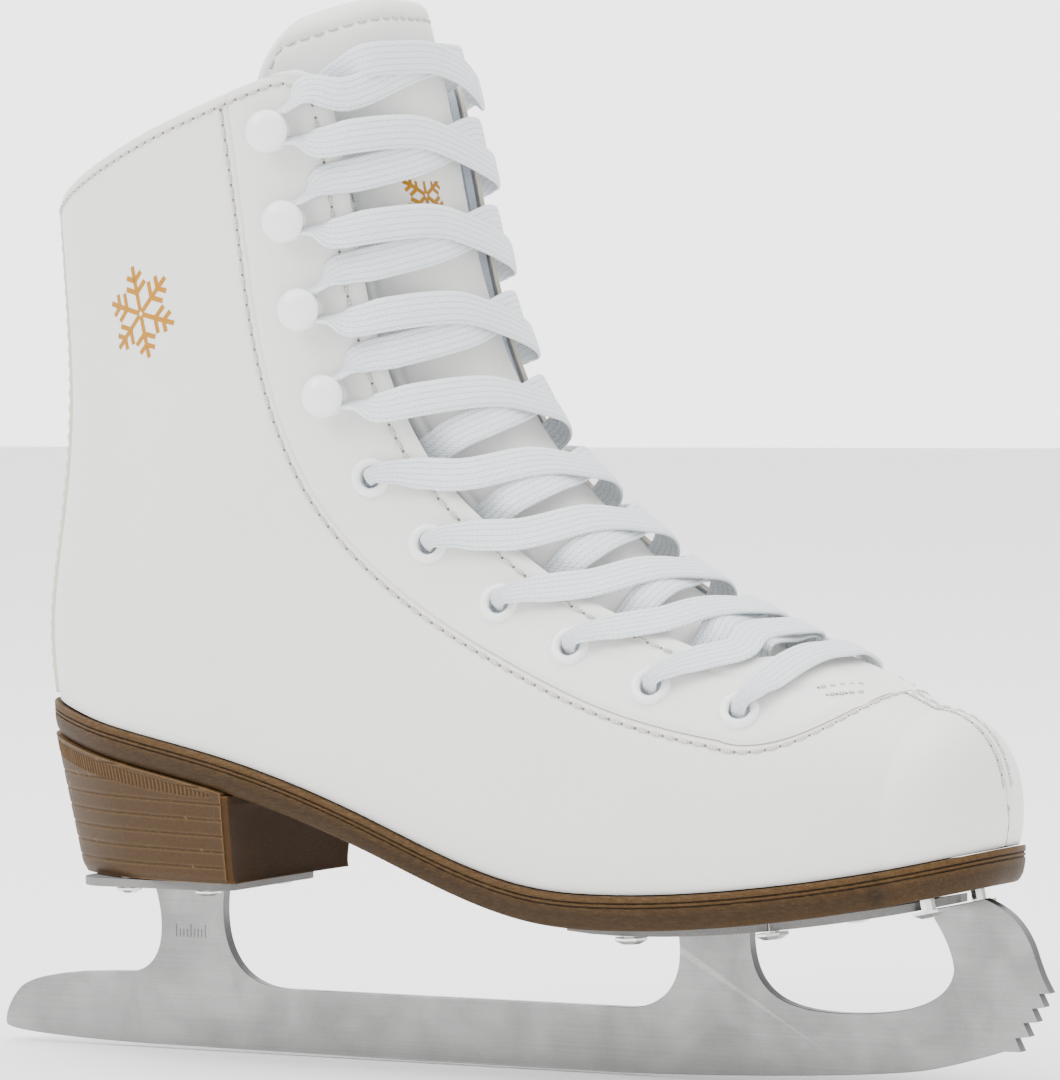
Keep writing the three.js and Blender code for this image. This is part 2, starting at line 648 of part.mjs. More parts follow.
const SEAT = EYESTAY_PROUD + CLEARANCE;
const WASHER_DEPTH = FACING_DEPTH + LINING_THICKNESS + 5 * CLEARANCE;
const EYELET_PROFILE = [
  [EYELET_BORE_RADIUS, -WASHER_DEPTH - 0.5],
  [EYELET_OUTER_RADIUS - 0.7, -WASHER_DEPTH - 0.5],
  [EYELET_OUTER_RADIUS - 0.7, -WASHER_DEPTH],
  [EYELET_BARREL_RADIUS, -WASHER_DEPTH],
  [EYELET_BARREL_RADIUS, SEAT],
  [EYELET_OUTER_RADIUS, SEAT],
  [EYELET_OUTER_RADIUS - 0.3, SEAT + 0.6],
  [EYELET_OUTER_RADIUS - 1.2, SEAT + 0.9],
  [EYELET_BORE_RADIUS, SEAT + 0.4],
  [EYELET_BORE_RADIUS, -WASHER_DEPTH - 0.5],
];
const FLANGE_TOP = SEAT + 0.7;
const CAP_BASE = FLANGE_TOP + HOOK_NECK_HEIGHT;
const HOOK_PROFILE = [
  [0, -WASHER_DEPTH - 0.6],
  [HOOK_STEM_RADIUS * 2, -WASHER_DEPTH - 0.6],
  [HOOK_STEM_RADIUS * 2, -WASHER_DEPTH],
  [HOOK_STEM_RADIUS, -WASHER_DEPTH],
  [HOOK_STEM_RADIUS, SEAT],
  [HOOK_FLANGE_RADIUS, SEAT],
  [HOOK_FLANGE_RADIUS, FLANGE_TOP],
  [HOOK_NECK_RADIUS, FLANGE_TOP],
  [HOOK_NECK_RADIUS, CAP_BASE],
  [HOOK_CAP_RADIUS - 0.5, CAP_BASE],
  [HOOK_CAP_RADIUS, CAP_BASE + 0.9],
  [HOOK_CAP_RADIUS * 0.82, CAP_BASE + 2.1],
  [HOOK_CAP_RADIUS * 0.45, CAP_BASE + 2.8],
  [0, CAP_BASE + 3],
];

SIDES.forEach(([name, side]) => {
  eyeletPlaces(side).forEach(({ point, normal }, i) => {
    placed(add(`eyelet_${name}_${i + 1}`, lathed(EYELET_PROFILE, 8), 'enamel'), point, normal);
  });
  hookPlaces(side).forEach(({ point, normal }, i) => {
    placed(add(`hook_${name}_${i + 1}`, lathed(HOOK_PROFILE, 8), 'enamel'), point, normal);
  });
});

// ---------------------------------------------------------------- lace
// The route is a list of stations. Each has a place on the form, a height over it, the direction of
// the ribbon's width, and the ribbon's width and thickness there.
function station(u, side, distance, height, width = LACE_WIDTH, thickness = LACE_THICKNESS, stand = 0) {
  const half = new HalfSection(u, side);
  const angle = side * half.angleAt(distance);
  const normal = formNormal(u, angle);
  const along = formPoint(u + 0.05, angle).sub(formPoint(u - 0.05, angle)).normalize();
  const across = along.multiplyScalar(1 - stand).addScaledVector(normal, stand).normalize();
  return { point: half.point(distance, height), across, width, thickness };
}

const CROSS_LOW = 0.2;
const CROSS_HIGH = 2.1;
const LACE_REST = 1.7;
const THROAT_LACE_U = 8.36;
const edgeOf = (u, side) => new HalfSection(u, side).edge;

// From the bar or the crossing, over the facing and down through an eyelet, then under the facing.
function throughEyelet(place, fromU, toU) {
  const { side, u, distance } = place;
  const lowest = u > THROAT_END_U;
  const edge = lowest ? edgeOf(THROAT_LACE_U, side) : edgeOf(u, side);
  const arrive = (share) => mix(u, fromU, share);
  const leave = (share) => mix(u, toU, share * (lowest ? 3 : 1));
  return [
    station(arrive(0.3), side, lowest ? distance - 17 : edge - 4, LACE_REST + (lowest ? 0.9 : 0.3)),
    station(arrive(0.15), side, lowest ? distance - 10 : edge + 3.5, LACE_REST + 0.7, LACE_WIDTH - 0.5),
    station(arrive(0.03), side, distance - 5.4, 3.0, LACE_WIDTH - 2.6, 1.5),
    station(u, side, distance - 1.4, 3.3, LACE_BUNCH_WIDTH + 0.3, 1.8),
    station(u, side, distance, 1.3, LACE_BUNCH_WIDTH, LACE_BUNCH_THICKNESS),
    station(u, side, distance, -WASHER_DEPTH - 0.6, LACE_BUNCH_WIDTH, LACE_BUNCH_THICKNESS),
    station(u, side, distance - 2.6, -WASHER_DEPTH - 1.9, LACE_BUNCH_WIDTH + 0.4, 1.5),
    station(leave(0.06), side, distance - 7, -WASHER_DEPTH - 1.9, LACE_WIDTH - 2, 1.2),
    station(leave(0.14), side, edge + 2, -WASHER_DEPTH - 1.5, LACE_WIDTH - 1),
    station(leave(0.19), side, edge - 3.5, lowest ? -6 : -4),
    station(leave(0.25), side, edge - 8.5, lowest ? -2 : -0.6),
  ];
}

// Around the back of a hook's neck, arriving from below and leaving upwards.
function aroundHook(place, lowerU, upperU, lowerHigh, upperHigh) {
  const { side, u, distance } = place;
  const perU = formPoint(u - 0.5, side * 1).distanceTo(formPoint(u + 0.5, side * 1));
  const up = (mm) => u - mm / perU;
  const neck = (FLANGE_TOP + CAP_BASE) / 2;
  const ring = HOOK_NECK_RADIUS + CLEARANCE + 0.9;
  const tight = (mm, ahead) => station(up(mm), side, distance + ahead, neck, 2.6, 1.6, 1);
  const edge = edgeOf(u, side);
  const level = (high) => LACE_REST + (high ? 1.7 : 0);
  return [
    station(mix(u, lowerU, 0.3), side, edge - 3, level(lowerHigh)),
    station(up(-6.4), side, distance - 10.5, level(lowerHigh) + 0.6, LACE_WIDTH - 2, 1.4, 0.2),
    station(up(-ring - 0.9), side, distance - 5.4, neck, 3, 1.5, 0.8),
    tight(-ring, -0.6),
    tight(-ring * 0.72, ring * 0.72),
    tight(0, ring),
    tight(ring * 0.72, ring * 0.72),
    tight(ring, -0.6),
    station(up(ring + 0.9), side, distance - 5.4, neck, 3, 1.5, 0.8),
    station(up(6.4), side, distance - 10.5, level(upperHigh) + 0.6, LACE_WIDTH - 2, 1.4, 0.2),
    station(mix(u, upperU, 0.3), side, edge - 3, level(upperHigh)),
  ];
}

// Over the tongue from one side to the other, between two rows.
function crossing(rowA, rowB, side, high) {
  const height = high ? CROSS_HIGH : CROSS_LOW;
  return [
    station(mix(rowA, rowB, 0.36), side, 13, mix(height, 1.6, 0.5)),
    station(mix(rowA, rowB, 0.5), 1, 0, height),
    station(mix(rowA, rowB, 0.64), -side, 13, mix(height, 1.8, 0.5)),
  ];
}

const LACE_ROWS = [...EYELET_ROWS, ...HOOK_ROWS];
const LACE_PLACES = Object.fromEntries(SIDES.map(([, side]) => [side, [...eyeletPlaces(side), ...hookPlaces(side)]]));
const TUCK_U = 0.16;

// One end of the lace climbs from the lowest bar, changing side at every row, and is tucked in.
function climb(startSide) {
  const route = [];
  const last = LACE_ROWS.length - 1;
  for (let row = 0; row <= last; row += 1) {
    const side = row % 2 === 0 ? startSide : -startSide;
    const place = LACE_PLACES[side][row];
    const high = (k) => (k % 2 === 0) === (startSide > 0);
    const below = row === 0 ? LACE_ROWS[0] : LACE_ROWS[row - 1];
    const above = row === last ? TUCK_U : LACE_ROWS[row + 1];
    if (row < EYELET_ROWS.length) route.push(...throughEyelet(place, below, above));
    else route.push(...aroundHook(place, below, above, high(row - 1), high(row)));
    if (row < last) route.push(...crossing(Math.min(LACE_ROWS[row], THROAT_LACE_U), LACE_ROWS[row + 1], side, high(row)));
  }
  const endSide = last % 2 === 0 ? -startSide : startSide;
  const edge = edgeOf(TUCK_U, endSide);
  const lift = startSide > 0 ? 0 : 1.7;
  route.push(
    station(TUCK_U + 0.14, -endSide, 13, CROSS_LOW + 1.2 + lift * 0.6),
    station(TUCK_U + 0.06, endSide, 0, CROSS_LOW + 0.5 + lift),
    station(TUCK_U + 0.05, endSide, 12, CROSS_LOW + 0.9 + lift * 0.6),
    station(TUCK_U + 0.04, endSide, edge - 9, 0.6 + lift * 0.6),
    station(TUCK_U + 0.08, endSide, edge - 3.5, -4, LACE_WIDTH - 1),
    station(TUCK_U + 0.14, endSide, edge + 2.5, -7, LACE_WIDTH - 2.5, 1.4),
    station(TUCK_U + 0.22, endSide, edge + 7.2, -7.4, 3.4, 1.8),
    station(TUCK_U + 0.34, endSide, edge + 7.6, -7.6, 2.8, 1.8),
  );
  return route;
}

function laceRoute() {
  const bar = [-1, 1].map((side) => station(EYELET_ROWS[0], side, 10, LACE_REST + 0.9));
  return [...climb(-1).reverse(), bar[0], station(EYELET_ROWS[0], 1, 0, LACE_REST + 0.4), bar[1], ...climb(1)];
}

function ribbon(stations, stepsPerSpan) {
  const path = new THREE.CatmullRomCurve3(stations.map((s) => s.point), false, 'centripetal');
  const spans = stations.length - 1;
  const rings = range(0, 1, spans * stepsPerSpan).map((t) => {
    const i = Math.min(Math.floor(t * spans), spans - 1);
    const local = t * spans - i;
    const [a, b] = [stations[i], stations[i + 1]];
    const tangent = path.getTangent(t);
    const across = a.across.clone().lerp(b.across, local);
    across.addScaledVector(tangent, -across.dot(tangent)).normalize();
    const face = tangent.clone().cross(across);
    const centre = path.getPoint(t);
    const [w, h] = [mix(a.width, b.width, local) / 2, mix(a.thickness, b.thickness, local) / 2];
    const corner = (sw, sh) => centre.clone().addScaledVector(across, sw * w).addScaledVector(face, sh * h);
    return [[corner(-1, -1), corner(1, -1)], [corner(-1, 1), corner(1, 1)]];
  });
  return stack(rings);
}

const LACE_STATIONS = laceRoute();
add('lace', ribbon(LACE_STATIONS, 1), 'lace');

[[LACE_STATIONS[1], LACE_STATIONS[0]], [LACE_STATIONS.at(-2), LACE_STATIONS.at(-1)]].forEach(([before, end], i) => {
  const direction = end.point.clone().sub(before.point).normalize();
  const middle = end.point.clone().addScaledVector(direction, CLEARANCE + AGLET_LENGTH / 2);
  const aglet = new THREE.CylinderGeometry(AGLET_RADIUS, AGLET_RADIUS, AGLET_LENGTH, 8);
  placed(add(`aglet_${i + 1}`, aglet, 'aglet'), middle, direction);
});

// ---------------------------------------------------------------- sole, heel and insole
// Pairs of points along the feather line, moved outwards by margin, at the height given for each x.
function solePairs(count, margin, heightAt, keep = () => true) {
  const [lateral, medial] = SIDES.map(([, side]) => {
    const flat = featherLines[side].map((point) => new THREE.Vector3(point.x, point.y, 0));
    const points = resampled(flat.filter(keep), count);
    return points.map((p, i) => {
      const tangent = points[Math.min(i + 1, count)].clone().sub(points[Math.max(i - 1, 0)]).normalize();
      const x = p.x - side * tangent.y * margin;
      const y = side * Math.max(side * p.y + tangent.x * margin, 0.5);
      return new THREE.Vector3(x, y, heightAt(x));
    });
  });
  return lateral.map((p, i) => [p, medial[i]]);
}

const soleRing = (margin, heightAt) => solePairs(28, margin, heightAt);
const bandSole = (top, bottom, margin, from, to, halfWidth) => {
  const ring = (height) => range(from, to, 14).map((x) => {
    const [a, b] = [-1, 1].map((side) => new THREE.Vector3(x, side * (halfWidth + margin), height(x)));
    return [a, b];
  });
  return stack([ring(bottom), ring(top)]);
};

const soleTop = (x) => featherHeight(x) - CLEARANCE;
const soleGeometry = stack([
  soleRing(-0.6, soleBottom),
  soleRing(WELT_MARGIN - 0.5, (x) => soleBottom(x) + 0.6),
  soleRing(WELT_MARGIN, (x) => soleTop(x) - 2),
  soleRing(WELT_MARGIN, soleTop),
]);

const SHANK_FROM = -100 * LENGTH_SCALE;
const SHANK_TO = 20 * LENGTH_SCALE;
const shankTop = (x) => soleTop(x) - CLEARANCE;
const shankBottom = (x) => shankTop(x) - SHANK_THICKNESS;
const shank = bandSole(shankTop, shankBottom, 0, SHANK_FROM, SHANK_TO, SHANK_WIDTH / 2);
const shankRecess = bandSole(
  (x) => soleTop(x) + 2,
  (x) => shankBottom(x) - CLEARANCE,
  CLEARANCE,
  SHANK_FROM - CLEARANCE,
  SHANK_TO + CLEARANCE,
  SHANK_WIDTH / 2,
);

// Screws: place in plan, whether under the heel, and the direction they are driven in.
const HEEL_SCREWS = [-99, -76].flatMap((x) => [-17, 17].map((y) => ({ x: x * LENGTH_SCALE, y: y * WIDTH_SCALE })));
const SOLE_SCREWS = [
  [44, 22],
  [81, 22],
  [117, 13.5],
].flatMap(([x, y]) => [-1, 1].map((side) => ({ x: x * LENGTH_SCALE, y: side * y * WIDTH_SCALE })));

const soleSlope = (x) => Math.atan2(soleBottom(x + 1) - soleBottom(x - 1), 2);
const driveUp = (x) => new THREE.Vector3(-Math.sin(soleSlope(x)), 0, Math.cos(soleSlope(x)));
const plateTop = (x) => soleBottom(x) - CLEARANCE;
const plateBottom = (x) => plateTop(x) - PLATE_THICKNESS;
const heelPlateTop = HEEL_BASE_Z - CLEARANCE;
const heelPlateBottom = heelPlateTop - PLATE_THICKNESS;

const soleScrewSeats = SOLE_SCREWS.map(({ x, y }) => ({
  point: new THREE.Vector3(x, y, plateBottom(x) - CLEARANCE / 2),
  direction: driveUp(x),
}));
const heelScrewSeats = HEEL_SCREWS.map(({ x, y }) => ({
  point: new THREE.Vector3(x, y, heelPlateBottom - CLEARANCE / 2),
  direction: new THREE.Vector3(0, 0, 1),
}));
const screwReach = PLATE_THICKNESS + 2 * CLEARANCE + SCREW_GRIP;
const screwHole = ({ point, direction }) =>
  drill(point.clone().addScaledVector(direction, screwReach / 2), direction, SCREW_SHANK_RADIUS + CLEARANCE,
    screwReach + 2 * CLEARANCE, 8);

add('sole_unit', cut(soleGeometry, [shankRecess, ...soleScrewSeats.map(screwHole)]), 'soleBrown');
add('steel_shank', shank, 'bladeSteel');

const INSOLE_INSET = UPPER_THICKNESS + STIFFENER_THICKNESS + LINING_THICKNESS + 4 * CLEARANCE + 2.1;
add('insole_board', stack([
  soleRing(-INSOLE_INSET, (x) => featherHeight(x)),
  soleRing(-INSOLE_INSET, (x) => featherHeight(x) + INSOLE_THICKNESS),
]), 'board');
const footbedBase = (x) => featherHeight(x) + INSOLE_THICKNESS + CLEARANCE;
add('footbed', stack([
  soleRing(-INSOLE_INSET - 0.6, footbedBase),
  soleRing(-INSOLE_INSET - 0.6, (x) => footbedBase(x) + FOOTBED_THICKNESS - 1),
  soleRing(-INSOLE_INSET - 1.6, (x) => footbedBase(x) + FOOTBED_THICKNESS),
]), 'foam');

function heelGeometry() {
  const top = solePairs(17, -0.2, (x) => soleBottom(x) - CLEARANCE, (p) => p.x < (HEEL_BREAST_X + 1) * LENGTH_SCALE);
  const seatX = top[top.length - 1][0].x;
  const base = (p) => new THREE.Vector3(
    HEEL_BREAST_X * LENGTH_SCALE + (p.x - seatX) * HEEL_TAPER,
    p.y * HEEL_TAPER,
    HEEL_BASE_Z,
  );
  const bottom = top.map(([p, q]) => [base(p), base(q)]);
  const between = (t) => top.map(([p, q], i) => [bottom[i][0].clone().lerp(p, t), bottom[i][1].clone().lerp(q, t)]);
  return { geometry: stack([bottom, between(0.5), top]), bottom };
}
const heel = heelGeometry();
add('heel_block', cut(heel.geometry, heelScrewSeats.map(screwHole)), 'soleBrown');

const breastEdge = heel.bottom[heel.bottom.length - 1];
const flapX = breastEdge[0].x + CLEARANCE + 0.4;
const flapHalf = breastEdge[1].y - 1;
const flapRing = (x) => [
  [new THREE.Vector3(x, -flapHalf, HEEL_BASE_Z + 0.6), new THREE.Vector3(x, flapHalf, HEEL_BASE_Z + 0.6)],
  [-1, 1].map((side) => new THREE.Vector3(x + 1, side * flapHalf, soleBottom(x + 1 + BREAST_FLAP_THICKNESS) - CLEARANCE)),
];
add('heel_breast', stack([flapRing(flapX), flapRing(flapX + BREAST_FLAP_THICKNESS)]), 'breastBrown');

// ---------------------------------------------------------------- blade set
function heelPlateGeometry() {
  const [back, front, half, corner] = [-113 * LENGTH_SCALE, -67.5 * LENGTH_SCALE, 21.5 * WIDTH_SCALE, 9];
  const shape = new THREE.Shape();
  shape.moveTo(back + corner, -half);
  shape.lineTo(front - corner / 2, -half);
  shape.absarc(front - corner / 2, -half + corner / 2, corner / 2, -Math.PI / 2, 0);
  shape.absarc(front - corner / 2, half - corner / 2, corner / 2, 0, Math.PI / 2);
  shape.absarc(back + corner, half - corner, corner, Math.PI / 2, Math.PI);
  shape.absarc(back + corner, -half + corner, corner, Math.PI, Math.PI * 1.5);
  const plate = new THREE.ExtrudeGeometry(shape, { depth: PLATE_THICKNESS, bevelEnabled: false, curveSegments: 3 });
  return plate.translate(0, 0, heelPlateBottom);
}
const plateFrom = 24 * LENGTH_SCALE;
const solePlateRing = (heightAt) => solePairs(16, -12, heightAt, (p) => p.x > plateFrom);
add('heel_plate', cut(heelPlateGeometry(), heelScrewSeats.map(screwHole)), 'bladeSteel');
add('sole_plate', cut(stack([solePlateRing(plateBottom), solePlateRing(plateTop)]), soleScrewSeats.map(screwHole)), 'bladeSteel');

// The runner's outline, drawn once around: the bottom edge, the toe picks, the three stanchions with
// the two windows between them, and the tail.
function runnerGeometry() {
  const x = (value) => value * LENGTH_SCALE;
  const soleSeat = (value) => plateBottom(x(value)) - CLEARANCE;
  const heelSeat = heelPlateBottom - CLEARANCE;
  const outline = new THREE.Shape();
  const curve = (...xy) => outline.bezierCurveTo(...xy.map((value, i) => (i % 2 === 0 ? x(value) : value)));
  outline.moveTo(x(-30), 0);
  outline.lineTo(x(30), 0);
  curve(60, 0.5, 95, 2.2, 109.5, 4.4);
  curve(117, 5.8, 124, 8, 130, 9.9);
  const picks = [[134.5, 10, 133, 13.1], [136.7, 13.6, 135.1, 16.7], [138.8, 17.1, 137.3, 20.1], [140.6, 20.6, 139.1, 23.6]];
  picks.forEach(([tipX, tipZ, rootX, rootZ]) => {
    outline.lineTo(x(tipX), tipZ);
    outline.lineTo(x(rootX), rootZ);
  });
  outline.lineTo(x(142), 23.8);
  curve(140, 27, 139.4, 28.6, 138.2, 31.9);
  curve(136.5, 37.5, 133, 42.5, 125.5, soleSeat(125.5) + 0.1);
  outline.lineTo(x(125), soleSeat(125));
  outline.lineTo(x(118), soleSeat(118));
  outline.lineTo(x(111.2), soleSeat(111.2));
  curve(112.8, 39.5, 117, 34, 117.5, 28.2);
  curve(116.5, 19.5, 103, 16.9, 88, 16.9);
  curve(74, 17, 64, 20, 64.6, soleSeat(64.6));
  outline.lineTo(x(45.3), soleSeat(45.3));
  curve(47.5, 22.5, 42, 15.7, 31, 15.7);
  outline.lineTo(x(-63.6), 15.7);
  curve(-74, 15.7, -84, 22, -81, heelSeat);
  outline.lineTo(x(-102), heelSeat);
  curve(-98.5, 32, -98, 18.4, -110, 18.2);
  curve(-122, 17.9, -137, 17, -142, 13);
  curve(-145.6, 9.6, -147.2, 5, -146.4, 3.4);
  curve(-145, 1.5, -120, 0.6, -100, 0.4);
  outline.closePath();
  const runner = new THREE.ExtrudeGeometry(outline, { depth: BLADE_THICKNESS, bevelEnabled: false, curveSegments: 7 });
  runner.rotateX(Math.PI / 2);
  return runner.translate(0, BLADE_THICKNESS / 2, 0);
}
add('blade_runner', runnerGeometry(), 'bladeSteel');

function screwProfile(headRadius) {
  const headHeight = headRadius * 0.42;
  return [
    [0, -CLEARANCE / 2 - headHeight],
    [headRadius * 0.55, -CLEARANCE / 2 - headHeight * 0.9],
    [headRadius, -CLEARANCE / 2 - headHeight * 0.35],
    [headRadius, -CLEARANCE / 2],
    [SCREW_SHANK_RADIUS, -CLEARANCE / 2],
    [SCREW_SHANK_RADIUS, screwReach - CLEARANCE],
    [0, screwReach - CLEARANCE],
  ];
}
const headBack = (direction) => direction.clone().multiplyScalar(-CLEARANCE / 2);
heelScrewSeats.forEach(({ point, direction }, i) => {
  const screw = add(`heel_screw_${i + 1}`, lathed(screwProfile(HEEL_SCREW_HEAD), 8), 'screwSteel');
  placed(screw, point.clone().add(headBack(direction)), direction);
});
soleScrewSeats.forEach(({ point, direction }, i) => {
  const screw = add(`sole_screw_${i + 1}`, lathed(screwProfile(PLATE_SCREW_HEAD), 8), 'screwSteel');
  placed(screw, point.clone().add(headBack(direction)), direction);
});

// ---------------------------------------------------------------- origin: middle of the base
const box = new THREE.Box3().setFromObject(skate);
const middle = box.getCenter(new THREE.Vector3());
skate.position.set(-middle.x, -middle.y, -box.min.z);

export default skate;
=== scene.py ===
"""Ladies' figure skate for the right foot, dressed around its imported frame.

The boot form, the lace route and the sizes repeat those of the solid model, in millimetres, and are
turned into metres of the row frame where a mesh is made.
"""
import logging
import math
from dataclasses import dataclass, field
from enum import IntEnum
from typing import Callable, Iterable, Sequence

import bmesh
import bpy
import numpy as np
from mathutils import Matrix, Vector


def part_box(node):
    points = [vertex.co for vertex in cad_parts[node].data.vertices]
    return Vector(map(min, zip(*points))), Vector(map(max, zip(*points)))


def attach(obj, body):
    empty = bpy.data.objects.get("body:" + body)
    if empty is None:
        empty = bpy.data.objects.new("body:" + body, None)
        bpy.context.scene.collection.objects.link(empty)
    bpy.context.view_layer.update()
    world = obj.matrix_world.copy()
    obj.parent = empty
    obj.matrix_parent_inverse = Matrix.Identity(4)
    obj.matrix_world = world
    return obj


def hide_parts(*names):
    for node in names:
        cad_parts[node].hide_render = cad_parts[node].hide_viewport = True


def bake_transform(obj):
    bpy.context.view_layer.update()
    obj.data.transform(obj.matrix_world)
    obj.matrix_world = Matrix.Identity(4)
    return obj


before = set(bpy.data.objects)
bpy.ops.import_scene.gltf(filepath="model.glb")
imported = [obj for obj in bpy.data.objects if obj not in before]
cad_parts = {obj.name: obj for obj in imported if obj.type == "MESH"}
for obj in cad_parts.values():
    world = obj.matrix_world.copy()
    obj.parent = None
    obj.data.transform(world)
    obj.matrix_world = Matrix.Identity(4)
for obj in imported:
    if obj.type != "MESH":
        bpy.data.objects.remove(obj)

LOG = logging.getLogger("skate")
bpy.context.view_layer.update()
MM = 0.001
BOOT = "boot"
TONGUE = "tongue"
CLEARANCE = 0.3
HEEL_TUCK = 1.5
NECK_RADIUS = 1.9

Points = np.ndarray
Piece = bpy.types.Object
Material = bpy.types.Material
Node = bpy.types.Node
NodeTree = bpy.types.NodeTree
Socket = bpy.types.NodeSocket


class Side(IntEnum):
    """A side of the boot, as the sign of y there."""

    LATERAL = -1
    MEDIAL = 1


SIDES = {side.name.lower(): side for side in Side}


def smooth_step(value: Points) -> Points:
    """A soft ramp from 0 to 1 for value from 0 to 1."""
    t = np.clip(value, 0.0, 1.0)
    return t * t * (3 - 2 * t)


def bump(distance: Points, width: float) -> Points:
    """A soft hump, 1 at distance 0 and almost nothing beyond about two widths."""
    return np.exp(-((distance / width) ** 2))


def unit(vectors: Points) -> Points:
    """The vectors along the last axis, each of length one."""
    return vectors / np.maximum(np.linalg.norm(vectors, axis=-1, keepdims=True), 1e-9)


def lengths_along(points: Points) -> Points:
    """Length of the line from its start to each of its points."""
    return np.concatenate(([0.0], np.cumsum(np.linalg.norm(np.diff(points, axis=0), axis=1))))


def points_at(places: Points, lengths: Points, points: Points) -> Points:
    """The rows of points at places measured in the same way as lengths."""
    return np.stack([np.interp(places, lengths, column) for column in points.T], axis=-1)


class NaturalSpline:
    """A natural cubic spline through values, or rows of values, at 0, 1, 2 and so on."""

    def __init__(self, values: Sequence[object]) -> None:
        """Solves for the bends at the knots.

        Args:
            values: A number, or a row of numbers, for each knot.
        """
        self.values = np.array(values, float)
        count = len(self.values)
        system = np.eye(count)
        right = np.zeros_like(self.values)
        for i in range(1, count - 1):
            system[i, i - 1:i + 2] = (1, 4, 1)
            right[i] = 6 * (self.values[i - 1] - 2 * self.values[i] + self.values[i + 1])
        self.bends = np.linalg.solve(system, right)

    def at(self, u: Points) -> Points:
        """The spline's value at u, which may lie a little outside the knots."""
        u = np.asarray(u, float)
        i = np.clip(np.floor(u).astype(int), 0, len(self.values) - 2)
        t = u - i
        if self.values.ndim > 1:
            t = t[..., None]
        a, b = self.values[i], self.values[i + 1]
        bend = (2 - t) * self.bends[i] + (1 + t) * self.bends[i + 1]
        return a + (b - a) * t - t * (1 - t) * bend / 6


